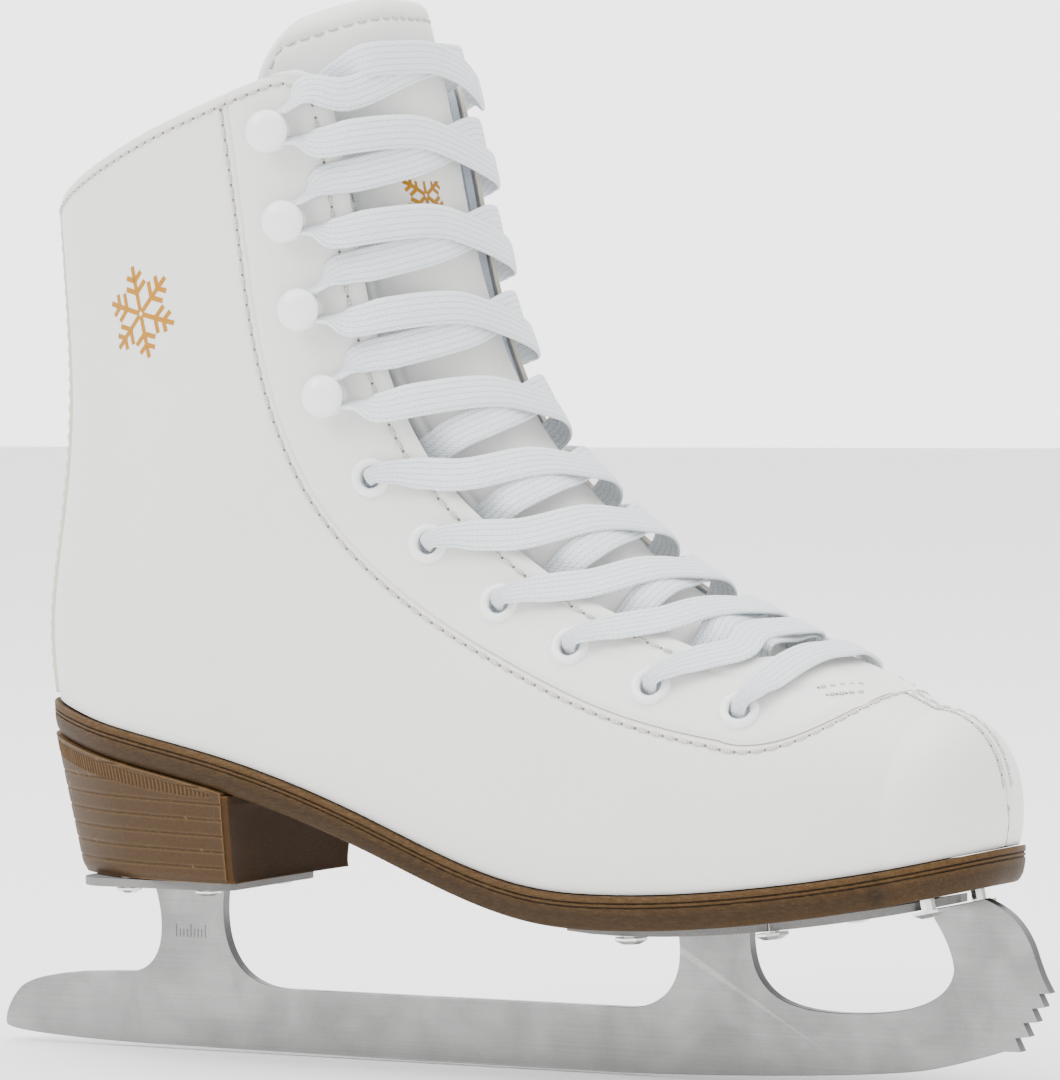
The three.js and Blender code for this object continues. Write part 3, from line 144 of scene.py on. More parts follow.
class BootForm:
    """The outer form of the boot: twelve sections from the collar (0) to the toe (11), and a toe dome."""

    SECTIONS = (
        (-24, 249, -125, 210.5, 39, 39, 2.6, 3.1, 1.65, 0.46),
        (-16, 217, -123.2, 182, 38, 38, 2.6, 3.1, 1.65, 0.45),
        (-9.5, 191, -122.8, 157, 37, 37, 2.6, 3.1, 1.65, 0.44),
        (-1, 168, -125.3, 133, 36.5, 36.5, 2.6, 3.1, 1.7, 0.42),
        (11, 149.5, -129, 108, 36, 36, 2.55, 3.1, 1.8, 0.4),
        (25, 136, -128.5, 81, 35.5, 36, 2.5, 3.0, 1.9, 0.38),
        (39, 124.5, -110, 61, 36, 36.5, 2.45, 2.9, 2.0, 0.38),
        (54, 114.5, -62, 53, 38, 37.5, 2.4, 2.7, 2.1, 0.4),
        (70, 106.5, -10, 40, 40.5, 39.5, 2.35, 2.5, 2.2, 0.44),
        (87, 99.5, 40, 31, 41.5, 41, 2.25, 2.3, 2.4, 0.52),
        (102, 94, 83, 34, 37, 36, 2.1, 2.1, 2.4, 0.55),
        (114, 88.6, 110, 42, 28.5, 27, 2.1, 2.0, 2.3, 0.55),
    )
    TOE_SECTION = 11
    TOE_TIP = (131.2, 66.0)
    TOE_DOME_POWER = 0.85
    COLLAR_U = 0.1
    THROAT_START_U = 8.0
    THROAT_END_U = 8.75
    SEAM_TURN_U = 9.0
    SEAM_END_U = 10.26
    FEATHER_START = -132.0
    FEATHER_STEP = 22.0
    FACING_CORNER_RADIUS = 11.0
    SECTION_SPACING = 33.0
    COUNTER_X = -98.0
    COUNTER_LENGTH = 24.0

    def __init__(self) -> None:
        """Makes the splines of the sections, the feather line, the opening and the seam."""
        self.section_spline = NaturalSpline(self.SECTIONS)
        self.feather_spline = NaturalSpline(
            (87.1, 82.9, 79.1, 75, 69, 61, 52.4, 46.9, 46, 47.1, 49.4, 52.8, 57.5))
        self.opening_spline = NaturalSpline((29, 29, 29, 29, 28.5, 27.2, 26.2, 26, 24.5))
        self.seam_spline = NaturalSpline((57, 59.5, 61.7, 63.5, 64.5, 63.3, 59.8, 56.3, 52, 44.6))

    def feather_height(self, x: Points) -> Points:
        """Height of the line where upper and sole meet, at x."""
        return self.feather_spline.at((np.asarray(x) - self.FEATHER_START) / self.FEATHER_STEP)

    def section(self, u: Points) -> list[Points]:
        """The ten values of the section at u."""
        u = np.asarray(u, float)
        values = list(np.moveaxis(self.section_spline.at(np.minimum(u, self.TOE_SECTION)), -1, 0))
        angle = np.clip(u - self.TOE_SECTION, 0, 1) * math.pi / 2
        shrink = np.cos(angle)
        rise = np.maximum(shrink, 0) ** self.TOE_DOME_POWER
        reach = np.sin(angle)
        tip_x, tip_z = self.TOE_TIP
        for x, z in ((0, 1), (2, 3)):
            values[x] = values[x] + (tip_x - values[x]) * reach
            values[z] = tip_z + (values[z] - tip_z) * rise
        for half_width in (4, 5):
            values[half_width] = values[half_width] * shrink
        return values

    def point(self, u: Points, angle: Points) -> Points:
        """Points of the form.

        Args:
            u: Place along the boot.
            angle: 0 on the front line to pi on the back line, negative on the lateral side.

        Returns:
            Points in millimetres, one for each u and angle.
        """
        u, angle = np.broadcast_arrays(np.asarray(u, float), np.asarray(angle, float))
        turn = np.where(np.abs(angle) > math.pi, angle - 2 * math.pi * np.sign(angle), angle)
        side = np.where(turn < 0, -1.0, 1.0)
        phi = np.abs(turn)
        s = self.section(u)
        front = phi <= math.pi / 2
        fullness = np.where(side < 0, s[6], s[7])
        power = 2 / np.where(front, fullness, s[8])
        along = np.abs(np.cos(phi)) ** power
        across = np.abs(np.sin(phi)) ** power
        share = np.where(front, s[9] * (1 - along), s[9] + (1 - s[9]) * along)
        half_width = np.where(side < 0, s[4], s[5])
        return np.stack((
            s[0] + (s[2] - s[0]) * share,
            side * half_width * across,
            s[1] + (s[3] - s[1]) * share), axis=-1)

    def normal(self, u: Points, angle: Points) -> Points:
        """Outward directions of the form at u and angle."""
        step = 0.03
        low = np.minimum(np.asarray(u, float), self.TOE_SECTION + 0.95) - step
        along = self.point(low + 2 * step, angle) - self.point(low, angle)
        around = self.point(u, angle + step) - self.point(u, angle - step)
        normal = unit(np.cross(along, around))
        centre = (self.point(u, 0.0) + self.point(u, math.pi)) / 2
        outward = self.point(u, angle) - centre
        facing = np.sum(normal * outward, axis=-1, keepdims=True)
        return np.where(facing < 0, -normal, normal)

    @staticmethod
    def counter_share(x: Points) -> Points:
        """How fully the form counts as its back end at x, where upper and sole are drawn in."""
        return smooth_step((BootForm.COUNTER_X - x) / BootForm.COUNTER_LENGTH)

    @staticmethod
    def turn_share(t: Points) -> Points:
        """Share of the seam's distance left after a share t of its turn in front of the throat."""
        return (1 - t ** 1.6) ** 0.6

    def opening_half_width(self, u: Points) -> Points:
        """Half width of the opening between the facings at u."""
        t = np.clip((u - self.THROAT_START_U) / (self.THROAT_END_U - self.THROAT_START_U), 0, 1)
        return self.opening_spline.at(np.minimum(u, self.THROAT_START_U)) * np.sqrt(1 - t * t)

    def seam_distance(self, u: Points) -> Points:
        """Distance of the eyestay's seam from the front line at u."""
        t = np.clip((u - self.SEAM_TURN_U) / (self.SEAM_END_U - self.SEAM_TURN_U), 0, 1)
        return self.seam_spline.at(np.minimum(u, self.SEAM_TURN_U)) * self.turn_share(t)

    def corner_rounding(self, u: Points) -> Points:
        """How much further back the facing's edge lies near the collar."""
        radius = self.FACING_CORNER_RADIUS
        left = radius - (np.maximum(u, self.COLLAR_U) - self.COLLAR_U) * self.SECTION_SPACING
        return radius - np.sqrt(radius ** 2 - np.maximum(left, 0) ** 2)


FORM = BootForm()


class FormSide:
    """One side of the form, measured in millimetres around the boot from the front line."""

    FIRST_U = -0.4
    U_STEP = 0.01
    D_STEP = 0.5
    LONGEST = 190.0
    ANGLES = 161

    def __init__(self, side: int) -> None:
        """Measures the side.

        Args:
            side: Which side.
        """
        self.side = side
        self.us = np.arange(self.FIRST_U, FORM.TOE_SECTION + 1 + self.U_STEP / 2, self.U_STEP)
        distances = np.arange(0, self.LONGEST, self.D_STEP)
        angles = np.linspace(0, math.pi, self.ANGLES)
        points = FORM.point(self.us[:, None], side * np.maximum(angles, 1e-9)[None, :])
        steps = np.linalg.norm(np.diff(points, axis=1), axis=2)
        lengths = np.concatenate((np.zeros((len(self.us), 1)), np.cumsum(steps, axis=1)), axis=1)
        self.totals = lengths[:, -1]
        self.angle_table = np.array([np.interp(distances, row, angles) for row in lengths])
        gaps = points[..., 2] - FORM.feather_height(points[..., 0])
        self.feathers = np.array([self.crossing(row, gap) for row, gap in zip(lengths, gaps)])
        half = self.ANGLES // 2 + 1
        widths = FORM.opening_half_width(self.us)
        self.edges = np.array([np.interp(w, np.abs(p[:half, 1]), row[:half]) if w > 0 else 0.0
                               for w, p, row in zip(widths, points, lengths)])

    @staticmethod
    def crossing(lengths: Points, gaps: Points) -> float:
        """Length at which gap first reaches nothing, or the whole length."""
        below = np.nonzero(gaps <= 0)[0]
        if len(below) == 0:
            return float(lengths[-1])
        i = int(below[0])
        if i == 0:
            return 0.0
        t = gaps[i - 1] / (gaps[i - 1] - gaps[i])
        return float(lengths[i - 1] + t * (lengths[i] - lengths[i - 1]))

    def total(self, u: Points) -> Points:
        """Length from the front line to the back line or the middle underneath."""
        return np.interp(u, self.us, self.totals)

    def feather(self, u: Points) -> Points:
        """Distance at which the form meets the sole, or its whole length."""
        return np.interp(u, self.us, self.feathers)

    def edge(self, u: Points) -> Points:
        """Distance of the facing's edge without its rounded corner."""
        return np.interp(u, self.us, self.edges)

    def facing_edge(self, u: Points) -> Points:
        """Distance of the facing's edge with its rounded corner at the collar."""
        return self.edge(u) + FORM.corner_rounding(u)

    def angle(self, u: Points, distance: Points) -> Points:
        """Signed angle at a place and a distance."""
        row = np.clip((np.asarray(u, float) - self.FIRST_U) / self.U_STEP, 0, len(self.us) - 1.001)
        column = np.clip(np.asarray(distance, float) / self.D_STEP, 0, self.angle_table.shape[1] - 1.001)
        i, j = row.astype(int), column.astype(int)
        s, t = row - i, column - j
        table = self.angle_table
        low = table[i, j] * (1 - t) + table[i, j + 1] * t
        high = table[i + 1, j] * (1 - t) + table[i + 1, j + 1] * t
        return self.side * np.maximum(low * (1 - s) + high * s, 1e-6)

    def place(self, u: Points, distance: Points, offset: Points = 0.0) -> Points:
        """Points at places and distances, each moved outwards by its offset."""
        u, distance, offset = np.broadcast_arrays(np.asarray(u, float), distance, np.asarray(offset, float))
        angle = self.angle(u, distance)
        return FORM.point(u, angle) + FORM.normal(u, angle) * offset[..., None]

    def outward(self, u: Points, distance: Points) -> Points:
        """Outward directions at places and distances."""
        u, distance = np.broadcast_arrays(np.asarray(u, float), distance)
        return FORM.normal(u, self.angle(u, distance))


FORM_SIDES = {side: FormSide(side) for side in SIDES.values()}


# ---- the frame's place and mesh making
def frame_offset() -> Points:
    """Where the drawing's origin lies in the row frame, found from the heel plate."""
    plate_back, plate_half_width = -113.0, 21.5
    low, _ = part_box("heel_plate")
    return np.array((low[0] / MM - plate_back, low[1] / MM + plate_half_width, 0.0))


OFFSET = frame_offset()


def metres(points: Points) -> list[tuple[float, float, float]]:
    """Drawing points in millimetres as row-frame points in metres."""
    moved = (np.asarray(points, float).reshape(-1, 3) + OFFSET) * MM
    return [tuple(float(value) for value in p) for p in moved]


class MeshDraft:
    """Points and faces of a mesh while it is made, in drawing millimetres."""

    def __init__(self) -> None:
        """Starts an empty draft."""
        self.points: list[Points] = []
        self.faces: list[tuple[int, ...]] = []
        self.values: dict[str, list[Points]] = {}
        self.cut: set[int] = set()
        self.count = 0

    def add(self, points: Points, faces: Iterable[Sequence[int]], **values: Points) -> "MeshDraft":
        """Adds points and faces, with any named vectors that go with the points."""
        points = np.asarray(points, float).reshape(-1, 3)
        self.points.append(points)
        self.faces.extend(tuple(int(i) + self.count for i in face) for face in faces)
        for name, value in values.items():
            self.values.setdefault(name, []).append(np.asarray(value, float).reshape(-1, 3))
        self.count += len(points)
        return self

    def grid(self, points: Points, closed: bool = False, **values: Points) -> "MeshDraft":
        """Adds an open sheet through rows of points, each row joined into a ring if closed."""
        rows, columns = points.shape[:2]
        faces = []
        last = columns if closed else columns - 1
        for i in range(rows - 1):
            for j in range(last):
                k = (j + 1) % columns
                faces.append((i * columns + j, i * columns + k, (i + 1) * columns + k, (i + 1) * columns + j))
        return self.add(points, faces, **values)

    def fold(self, start: int, count: int, flip: bool = False) -> "MeshDraft":
        """Closes a symmetric row of points with strips from each point to its opposite one."""
        for i in range(count // 2 - 1):
            quad = (start + i, start + i + 1, start + count - 2 - i, start + count - 1 - i)
            self.faces.append(quad[::-1] if flip else quad)
        return self

    def shell(self, outer: Points, inner: Points, **values: Points) -> "MeshDraft":
        """Adds a closed sheet between an outer and an inner grid of the same size, its rim marked as cut."""
        rows, columns = outer.shape[:2]
        size = rows * columns
        faces = []
        for i in range(rows - 1):
            for j in range(columns - 1):
                a, b = i * columns + j, i * columns + j + 1
                c, d = b + columns, a + columns
                faces.append((a, b, c, d))
                faces.append((a + size, d + size, c + size, b + size))
        rim = list(range(columns))
        rim += [i * columns + columns - 1 for i in range(1, rows)]
        rim += [(rows - 1) * columns + j for j in range(columns - 2, -1, -1)]
        rim += [i * columns for i in range(rows - 2, 0, -1)]
        self.cut.update(range(len(self.faces) + len(faces), len(self.faces) + len(faces) + len(rim)))
        for a, b in zip(rim, rim[1:] + rim[:1]):
            faces.append((b, a, a + size, b + size))
        doubled = {name: np.concatenate((v.reshape(-1, 3), v.reshape(-1, 3))) for name, v in values.items()}
        return self.add(np.concatenate((outer.reshape(-1, 3), inner.reshape(-1, 3))), faces, **doubled)

    def lathe(self, profile: Points, point: Points, axis: Points, segments: int = 40) -> "MeshDraft":
        """Adds a turned body around an axis, from pairs of radius and height along the axis."""
        axis = unit(np.asarray(axis, float))
        helper = np.array((0.0, 0.0, 1.0)) if abs(axis[2]) < 0.9 else np.array((1.0, 0.0, 0.0))
        first = unit(np.cross(helper, axis))
        second = np.cross(axis, first)
        turns = np.linspace(0, 2 * math.pi, segments, endpoint=False)
        ring = np.cos(turns)[:, None] * first + np.sin(turns)[:, None] * second
        rows = np.array([point + axis * h + ring * max(r, 0.002) for r, h in profile])
        return self.grid(rows, closed=True)

    def make(self, name: str, material: Material, bevel: float = 0.0, sharp: float = 180.0,
             weld: bool = True, cut_material: Material | None = None) -> Piece:
        """Makes the object.

        Args:
            name: The piece's name.
            material: Its finish.
            bevel: Width of a rounding of its sharp edges, in millimetres.
            sharp: Angle in degrees above which an edge stays sharp.
            weld: Whether points in the same place are joined.
            cut_material: The finish of the cut rim, if it differs.

        Returns:
            The new object, in the row frame.
        """
        mesh = bpy.data.meshes.new(name)
        mesh.from_pydata(metres(np.concatenate(self.points)), [], self.faces)
        for key, parts in self.values.items():
            attribute = mesh.attributes.new(key, "FLOAT_VECTOR", "POINT")
            attribute.data.foreach_set("vector", np.concatenate(parts).ravel())
        mesh.materials.append(material)
        if cut_material:
            mesh.materials.append(cut_material)
            mesh.polygons.foreach_set("material_index", [int(i in self.cut) for i in range(len(self.faces))])
        if weld:
            weld_mesh(mesh)
        mesh.polygons.foreach_set("use_smooth", [True] * len(mesh.polygons))
        if sharp < 180:
            mesh.set_sharp_from_angle(angle=math.radians(sharp))
        obj = bpy.data.objects.new(name, mesh)
        bpy.context.scene.collection.objects.link(obj)
        if bevel:
            round_edges(obj, bevel, 50)
        return obj


def place_piece(piece: Piece, body: str, slot: str, *nodes: str) -> None:
    """Attaches the piece to the body that it rides on and hides the nodes that it stands for."""
    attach(piece, body)
    if nodes:
        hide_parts(*nodes)


def round_edges(obj: Piece, width: float, angle: float) -> None:
    """Rounds the edges sharper than angle, in degrees, over a width in millimetres."""
    rounding = obj.modifiers.new("rounding", "BEVEL")
    rounding.width = width * MM
    rounding.segments = 3
    rounding.limit_method = "ANGLE"
    rounding.angle_limit = math.radians(angle)
    rounding.harden_normals = False


def weld_mesh(mesh: bpy.types.Mesh) -> None:
    """Joins points that lie in the same place and turns the faces outwards."""
    work = bmesh.new()
    work.from_mesh(mesh)
    bmesh.ops.remove_doubles(work, verts=work.verts, dist=1e-6)
    bmesh.ops.dissolve_degenerate(work, edges=work.edges, dist=1e-7)
    bmesh.ops.recalc_face_normals(work, faces=work.faces)
    work.to_mesh(mesh)
    work.free()


def resampled(points: Points, spacing: float) -> Points:
    """Points along a line at equal distances of about spacing."""
    lengths = lengths_along(points)
    return points_at(np.linspace(0, lengths[-1], max(int(lengths[-1] / spacing), 1) + 1), lengths, points)


# ---- shader work
class Graph:
    """A node tree with short calls to add and join nodes."""

    def __init__(self, tree: NodeTree) -> None:
        """Takes the tree to work in."""
        self.tree = tree

    def add(self, kind: str, settings: dict | None = None, **inputs: object) -> Node:
        """Adds a node.

        Args:
            kind: The node type without its ShaderNode prefix.
            settings: Properties of the node.
            inputs: Socket values or output sockets, by the socket's name with _ for a space.

        Returns:
            The node.
        """
        node = self.tree.nodes.new("ShaderNode" + kind)
        for key, value in (settings or {}).items():
            setattr(node, key, value)
        for key, value in inputs.items():
            name = key.replace("_", " ")
            by_number = name[0] == "i" and name[1:].isdigit()
            self.put(node.inputs[int(name[1:]) if by_number else name], value)
        return node

    def put(self, socket: Socket, value: object) -> None:
        """Links a socket to another one, or gives it a value."""
        if isinstance(value, Socket):
            self.tree.links.new(value, socket)
        else:
            socket.default_value = value

    def join(self, node: Node, **sockets: Socket) -> None:
        """Links sockets to the node's inputs by name."""
        for key, socket in sockets.items():
            self.tree.links.new(socket, node.inputs[key.replace("_", " ")])

    def noise(self, scale: object, detail: float, **inputs: object) -> Socket:
        """The value of a noise texture."""
        return self.add("TexNoise", Scale=scale, Detail=detail, **inputs).outputs[0]

    def math(self, operation: str, *values: object) -> Socket:
        """The result of a Math node on one to three values or sockets."""
        return self.add("Math", {"operation": operation}, **{f"i{i}": v for i, v in enumerate(values)}).outputs[0]

    def times(self, a: object, b: object) -> Socket:
        """The product of a and b."""
        return self.math("MULTIPLY", a, b)

    def plus(self, a: object, b: object) -> Socket:
        """The sum of a and b."""
        return self.math("ADD", a, b)

    def mix(self, share: object, a: object, b: object) -> Socket:
        """A colour between a and b."""
        node = self.tree.nodes.new("ShaderNodeMix")
        node.data_type = "RGBA"
        for index, value in ((0, share), (6, a), (7, b)):
            self.put(node.inputs[index], value)
        return node.outputs[2]

    def ramp(self, value: object, low: float, high: float, start: float = 0.0,
             end: float = 1.0) -> Socket:
        """value taken from the range low to high into the range start to end, and held there."""
        node = self.add("MapRange", {"clamp": True}, Value=value, From_Min=low, From_Max=high,
                        To_Min=start, To_Max=end)
        return node.outputs[0]

    def group(self, tree: NodeTree, **inputs: object) -> Node:
        """Places a node group with its values."""
        node = self.tree.nodes.new("ShaderNodeGroup")
        node.node_tree = tree
        for key, value in inputs.items():
            self.put(node.inputs[key], value)
        return node


def effect(name: str, inputs: dict[str, float], outputs: Sequence[str]) -> tuple[Graph, Node, Node]:
    """Starts a shader node group.

    Args:
        name: Its name.
        inputs: Its float inputs with their defaults.
        outputs: Its float outputs.

    Returns:
        The graph, the input node and the output node.
    """
    tree = bpy.data.node_groups.new(name, "ShaderNodeTree")
    for key, value in inputs.items():
        tree.interface.new_socket(key, in_out="INPUT", socket_type="NodeSocketFloat").default_value = value
    for key in outputs:
        tree.interface.new_socket(key, in_out="OUTPUT", socket_type="NodeSocketFloat")
    return Graph(tree), tree.nodes.new("NodeGroupInput"), tree.nodes.new("NodeGroupOutput")


class Effects:
    """The shared surface effects, each built once."""

    def __init__(self) -> None:
        """Builds every group."""
        self.grain = self.build_grain()
        self.creases = self.build_creases()
        self.weave = self.build_weave()
        self.brushing = self.build_brushing()
        self.wear = self.build_wear()
        self.dust = self.build_dust()

    @staticmethod
    def build_grain() -> NodeTree:
        """Pebbled grain of leather: small rounded cells with fine pores."""
        g, given, result = effect("leather_grain", {"Scale": 1.0}, ("Height", "Tone"))
        place = g.add("TexCoord").outputs["Object"]
        wobble = g.noise(g.times(given.outputs[0], 420.0), 2.0, Vector=place)
        cells = g.add("TexVoronoi", {"feature": "SMOOTH_F1"}, Vector=place,
                      Scale=g.times(given.outputs[0], 1150.0), Randomness=1.0)
        pores = g.noise(g.times(given.outputs[0], 2600.0), 3.0, Vector=place)
        height = g.plus(g.times(cells.outputs["Distance"], -0.7),
                        g.times(pores, 0.25))
        height = g.plus(height, g.times(wobble, 0.5))
        g.join(result, Height=height)
        g.join(result, Tone=g.ramp(cells.outputs["Distance"], 0.1, 0.7))
        return g.tree

    @staticmethod
    def build_creases() -> NodeTree:
        """Broad soft unevenness of a lasted upper, with a few shallow wrinkles."""
        g, given, result = effect("soft_creases", {"Scale": 1.0}, ("Height", "Tone"))
        place = g.add("TexCoord").outputs["Object"]
        broad = g.noise(g.times(given.outputs[0], 14.0), 2.0, Vector=place)
        fine = g.noise(g.times(given.outputs[0], 60.0), 3.0, Vector=place, Distortion=0.6)
        height = g.plus(broad, g.times(fine, 0.25))
        g.join(result, Height=height)
        g.join(result, Tone=g.ramp(broad, 0.35, 0.65))
        return g.tree

    @staticmethod
    def build_weave() -> NodeTree:
        """A woven or knitted cloth from two crossed sets of threads, in the object's own space."""
        g, given, result = effect("cloth_weave", {"Pitch": 0.0009}, ("Height", "Tone"))
        place = g.add("TexCoord").outputs["Object"]
        axes = g.add("SeparateXYZ", Vector=place)
        turn = g.math("DIVIDE", 2 * math.pi, given.outputs[0])
        slant = g.plus(axes.outputs[0], axes.outputs[1])
        first = g.math("SINE", g.times(g.plus(slant, axes.outputs[2]), turn))
        second = g.math("SINE", g.times(g.math("SUBTRACT", slant, axes.outputs[2]), turn))
        fuzz = g.noise(1800.0, 2.0, Vector=place)
        height = g.plus(g.times(first, second), g.times(fuzz, 1.2))
        g.join(result, Height=height)
        # Tone is lowest in the dips between threads; the cloth uses it for painted shade there.
        g.join(result, Tone=g.ramp(height, -0.6, 1.6))
        return g.tree

    @staticmethod
    def build_brushing() -> NodeTree:
        """Fine scratches along X, as a belt leaves them on steel, with slow cloudy changes."""
        g, given, result = effect("brushed_lines", {"Fineness": 1.0}, ("Height", "Tone", "Cloud"))
        place = g.add("TexCoord").outputs["Object"]
        stretched = g.add("Mapping", Vector=place, Scale=(18.0, 2600.0, 2600.0))
        lines = g.noise(given.outputs[0], 4.0, Vector=stretched.outputs[0], Roughness=0.65)
        cloud = g.noise(55.0, 5.0, Vector=place, Roughness=0.6, Distortion=0.4)
        g.join(result, Height=lines)
        g.join(result, Tone=g.ramp(lines, 0.35, 0.65))
        g.join(result, Cloud=g.ramp(cloud, 0.38, 0.66))
        return g.tree

    @staticmethod
    def build_wear() -> NodeTree:
        """Rubbed edges: high where the surface turns outwards sharply, broken up by noise."""
        g, given, result = effect("edge_wear", {"Amount": 1.0}, ("Mask",))
        shape = g.add("NewGeometry").outputs["Pointiness"]
        noise = g.noise(260.0, 4.0)
        rubbed = g.times(g.ramp(shape, 0.5, 0.56), g.ramp(noise, 0.3, 0.7, 0.3, 1.0))
        g.join(result, Mask=g.times(rubbed, given.outputs[0]))
        return g.tree

    @staticmethod
    def build_dust() -> NodeTree:
        """A little dust and handling, more on surfaces that face up."""
        g, given, result = effect("light_dust", {"Amount": 1.0}, ("Mask",))
        up = g.add("SeparateXYZ", Vector=g.add("NewGeometry").outputs["Normal"]).outputs[2]
        noise = g.noise(90.0, 6.0, Roughness=0.7)
        settled = g.times(g.ramp(up, -0.2, 1.0, 0.2, 1.0), g.ramp(noise, 0.45, 0.75))
        g.join(result, Mask=g.times(settled, given.outputs[0]))
        return g.tree


EFFECTS = Effects()


def linear(code: str) -> tuple[float, float, float, float]:
    """A colour written as six hexadecimal digits, as linear light."""
    values = [int(code[i:i + 2], 16) / 255 for i in (0, 2, 4)]
    return tuple(v / 12.92 if v <= 0.04045 else ((v + 0.055) / 1.055) ** 2.4 for v in values) + (1.0,)


def new_material(name: str, **fixed: object) -> tuple[Material, Graph, Node]:
    """Starts a material.

    Args:
        name: Its name.
        fixed: Values of the shader's own sockets.

    Returns:
        The material, its graph and its Principled shader.
    """
    material = bpy.data.materials.new(name)
    material.use_nodes = True
    g = Graph(material.node_tree)
    shader = material.node_tree.nodes["Principled BSDF"]
    for key, value in fixed.items():
        shader.inputs[key.replace("_", " ")].default_value = value
    return material, g, shader


def bumped(g: Graph, layers: Sequence[tuple[Socket, float, float]]) -> Socket:
    """Bump nodes one after another, each with a height, a strength and a depth in millimetres."""
    normal = None
    for height, strength, depth in layers:
        node = g.add("Bump", Height=height, Strength=strength, Distance=depth * MM)
        if normal is not None:
            g.tree.links.new(normal, node.inputs["Normal"])
        normal = node.outputs[0]
    return normal


@dataclass(frozen=True)
class Finish:
    """A material with a colour and a shade of it."""

    name: str
    colour: str = "808080"
    shade: str = "808080"

    def tinted(self, g: Graph, share: Socket) -> Socket:
        """A colour between the finish's colour, at share 0, and its shade."""
        return g.mix(share, linear(self.colour), linear(self.shade))


@dataclass(frozen=True)
class Leather(Finish):
    """Coated leather with a fine pressed grain."""

    colour: str = "E4E3E0"
    shade: str = "DAD9D5"
    roughness: float = 0.4
    grain: float = 1.0
    grain_depth: float = 0.05
    crease_depth: float = 0.5

    def material(self) -> Material:
        """The material."""
        material, g, shader = new_material(self.name, Subsurface_Weight=0.04, Coat_Weight=0.06,
                                           Coat_Roughness=0.35)
        shader.inputs["Subsurface Radius"].default_value = (0.0012, 0.001, 0.0008)
        grain = g.group(EFFECTS.grain, Scale=self.grain)
        crease = g.group(EFFECTS.creases, Scale=1.0)
        dust = g.group(EFFECTS.dust, Amount=0.25)
        tone = g.plus(g.times(grain.outputs["Tone"], 0.25),
                      g.times(crease.outputs["Tone"], 0.35))
        colour = self.tinted(g, tone)
        colour = g.mix(dust.outputs[0], colour, linear("CFCCC5"))
        rough = g.plus(g.times(grain.outputs["Tone"], 0.12), self.roughness)
        normal = bumped(g, ((crease.outputs["Height"], 0.25, self.crease_depth),
                            (grain.outputs["Height"], 0.5, self.grain_depth)))
        g.join(shader, Base_Color=colour, Roughness=rough, Normal=normal)
        return material


@dataclass(frozen=True)
class CutEdge(Finish):
    """The raw cut edge of leather and foam layers."""

    colour: str = "DDD6C8"
    shade: str = "C6BDAB"

    def material(self) -> Material:
        """The material."""
        material, g, shader = new_material(self.name)
        fibre = g.noise(900.0, 4.0, Roughness=0.7)
        rough = g.ramp(fibre, 0.2, 0.8, 0.7, 0.9)
        g.join(shader, Base_Color=self.tinted(g, g.ramp(fibre, 0.35, 0.7)),
             Roughness=rough, Normal=bumped(g, ((fibre, 0.5, 0.12),)))
        return material


@dataclass(frozen=True)
class Cloth(Finish):
    """Brushed textile, as of a lining."""

    colour: str = "C3CBD6"
    shade: str = "A9B2BE"
    pitch: float = 0.9

    def material(self) -> Material:
        """The material, darker in the dips between the threads as painted shade."""
        material, g, shader = new_material(self.name, Sheen_Weight=0.3, Sheen_Roughness=0.5)
        weave = g.group(EFFECTS.weave, Pitch=self.pitch * MM)
        # Painted shade: the colour darkens towards the shade colour in the dips between threads.
        colour = self.tinted(g, g.math("SUBTRACT", 1.0, weave.outputs["Tone"]))
        rough = g.ramp(weave.outputs["Tone"], 0.0, 1.0, 0.95, 0.85)
        g.join(shader, Base_Color=colour, Roughness=rough,
             Normal=bumped(g, ((weave.outputs["Height"], 0.5, 0.12),)))
        return material


@dataclass(frozen=True)
class Braid(Finish):
    """The flat woven lace, from places across and along the ribbon."""

    colour: str = "FAFDFF"
    shade: str = "BBD0DF"
    ribs: float = 5.5
    pitch: float = 1.15

    def material(self) -> Material:
        """The material, with slanted yarns that change direction from rib to rib, and painted shade that darkens the
        colour in the grooves between ribs and between yarns.
        """
        material, g, shader = new_material(self.name, Sheen_Weight=0.25, Sheen_Roughness=0.4,
                                           Subsurface_Weight=0.1)
        shader.inputs["Subsurface Radius"].default_value = (0.0008, 0.0009, 0.001)
        place = g.add("Attribute", {"attribute_name": "ribbon"}).outputs["Vector"]
        axes = g.add("SeparateXYZ", Vector=place)
        across, along = axes.outputs[0], axes.outputs[1]
        rib = g.math("PINGPONG", g.times(across, self.ribs), 0.5)
        slanted = g.plus(g.math("DIVIDE", along, self.pitch), g.times(rib, 2.2))
        yarn = g.math("PINGPONG", slanted, 0.5)
        groove = g.ramp(rib, 0.0, 0.16)
        fuzz = g.noise(2400.0, 2.0)
        height = g.plus(g.times(yarn, 1.1), g.times(groove, 0.55))
        height = g.plus(height, g.times(fuzz, 0.35))
        # Painted shade: the colour darkens towards the shade colour in the grooves between ribs and between yarns.
        painted_weave_light = g.times(g.ramp(yarn, 0.0, 0.3, 0.45, 1.0), g.ramp(groove, 0.0, 1.0, 0.3, 1.0))
        colour = g.mix(painted_weave_light, linear(self.shade), linear(self.colour))
        g.join(shader, Base_Color=colour, Roughness=g.ramp(yarn, 0.0, 0.5, 0.92, 0.75),
             Normal=bumped(g, ((height, 0.9, 0.4),)))
        return material


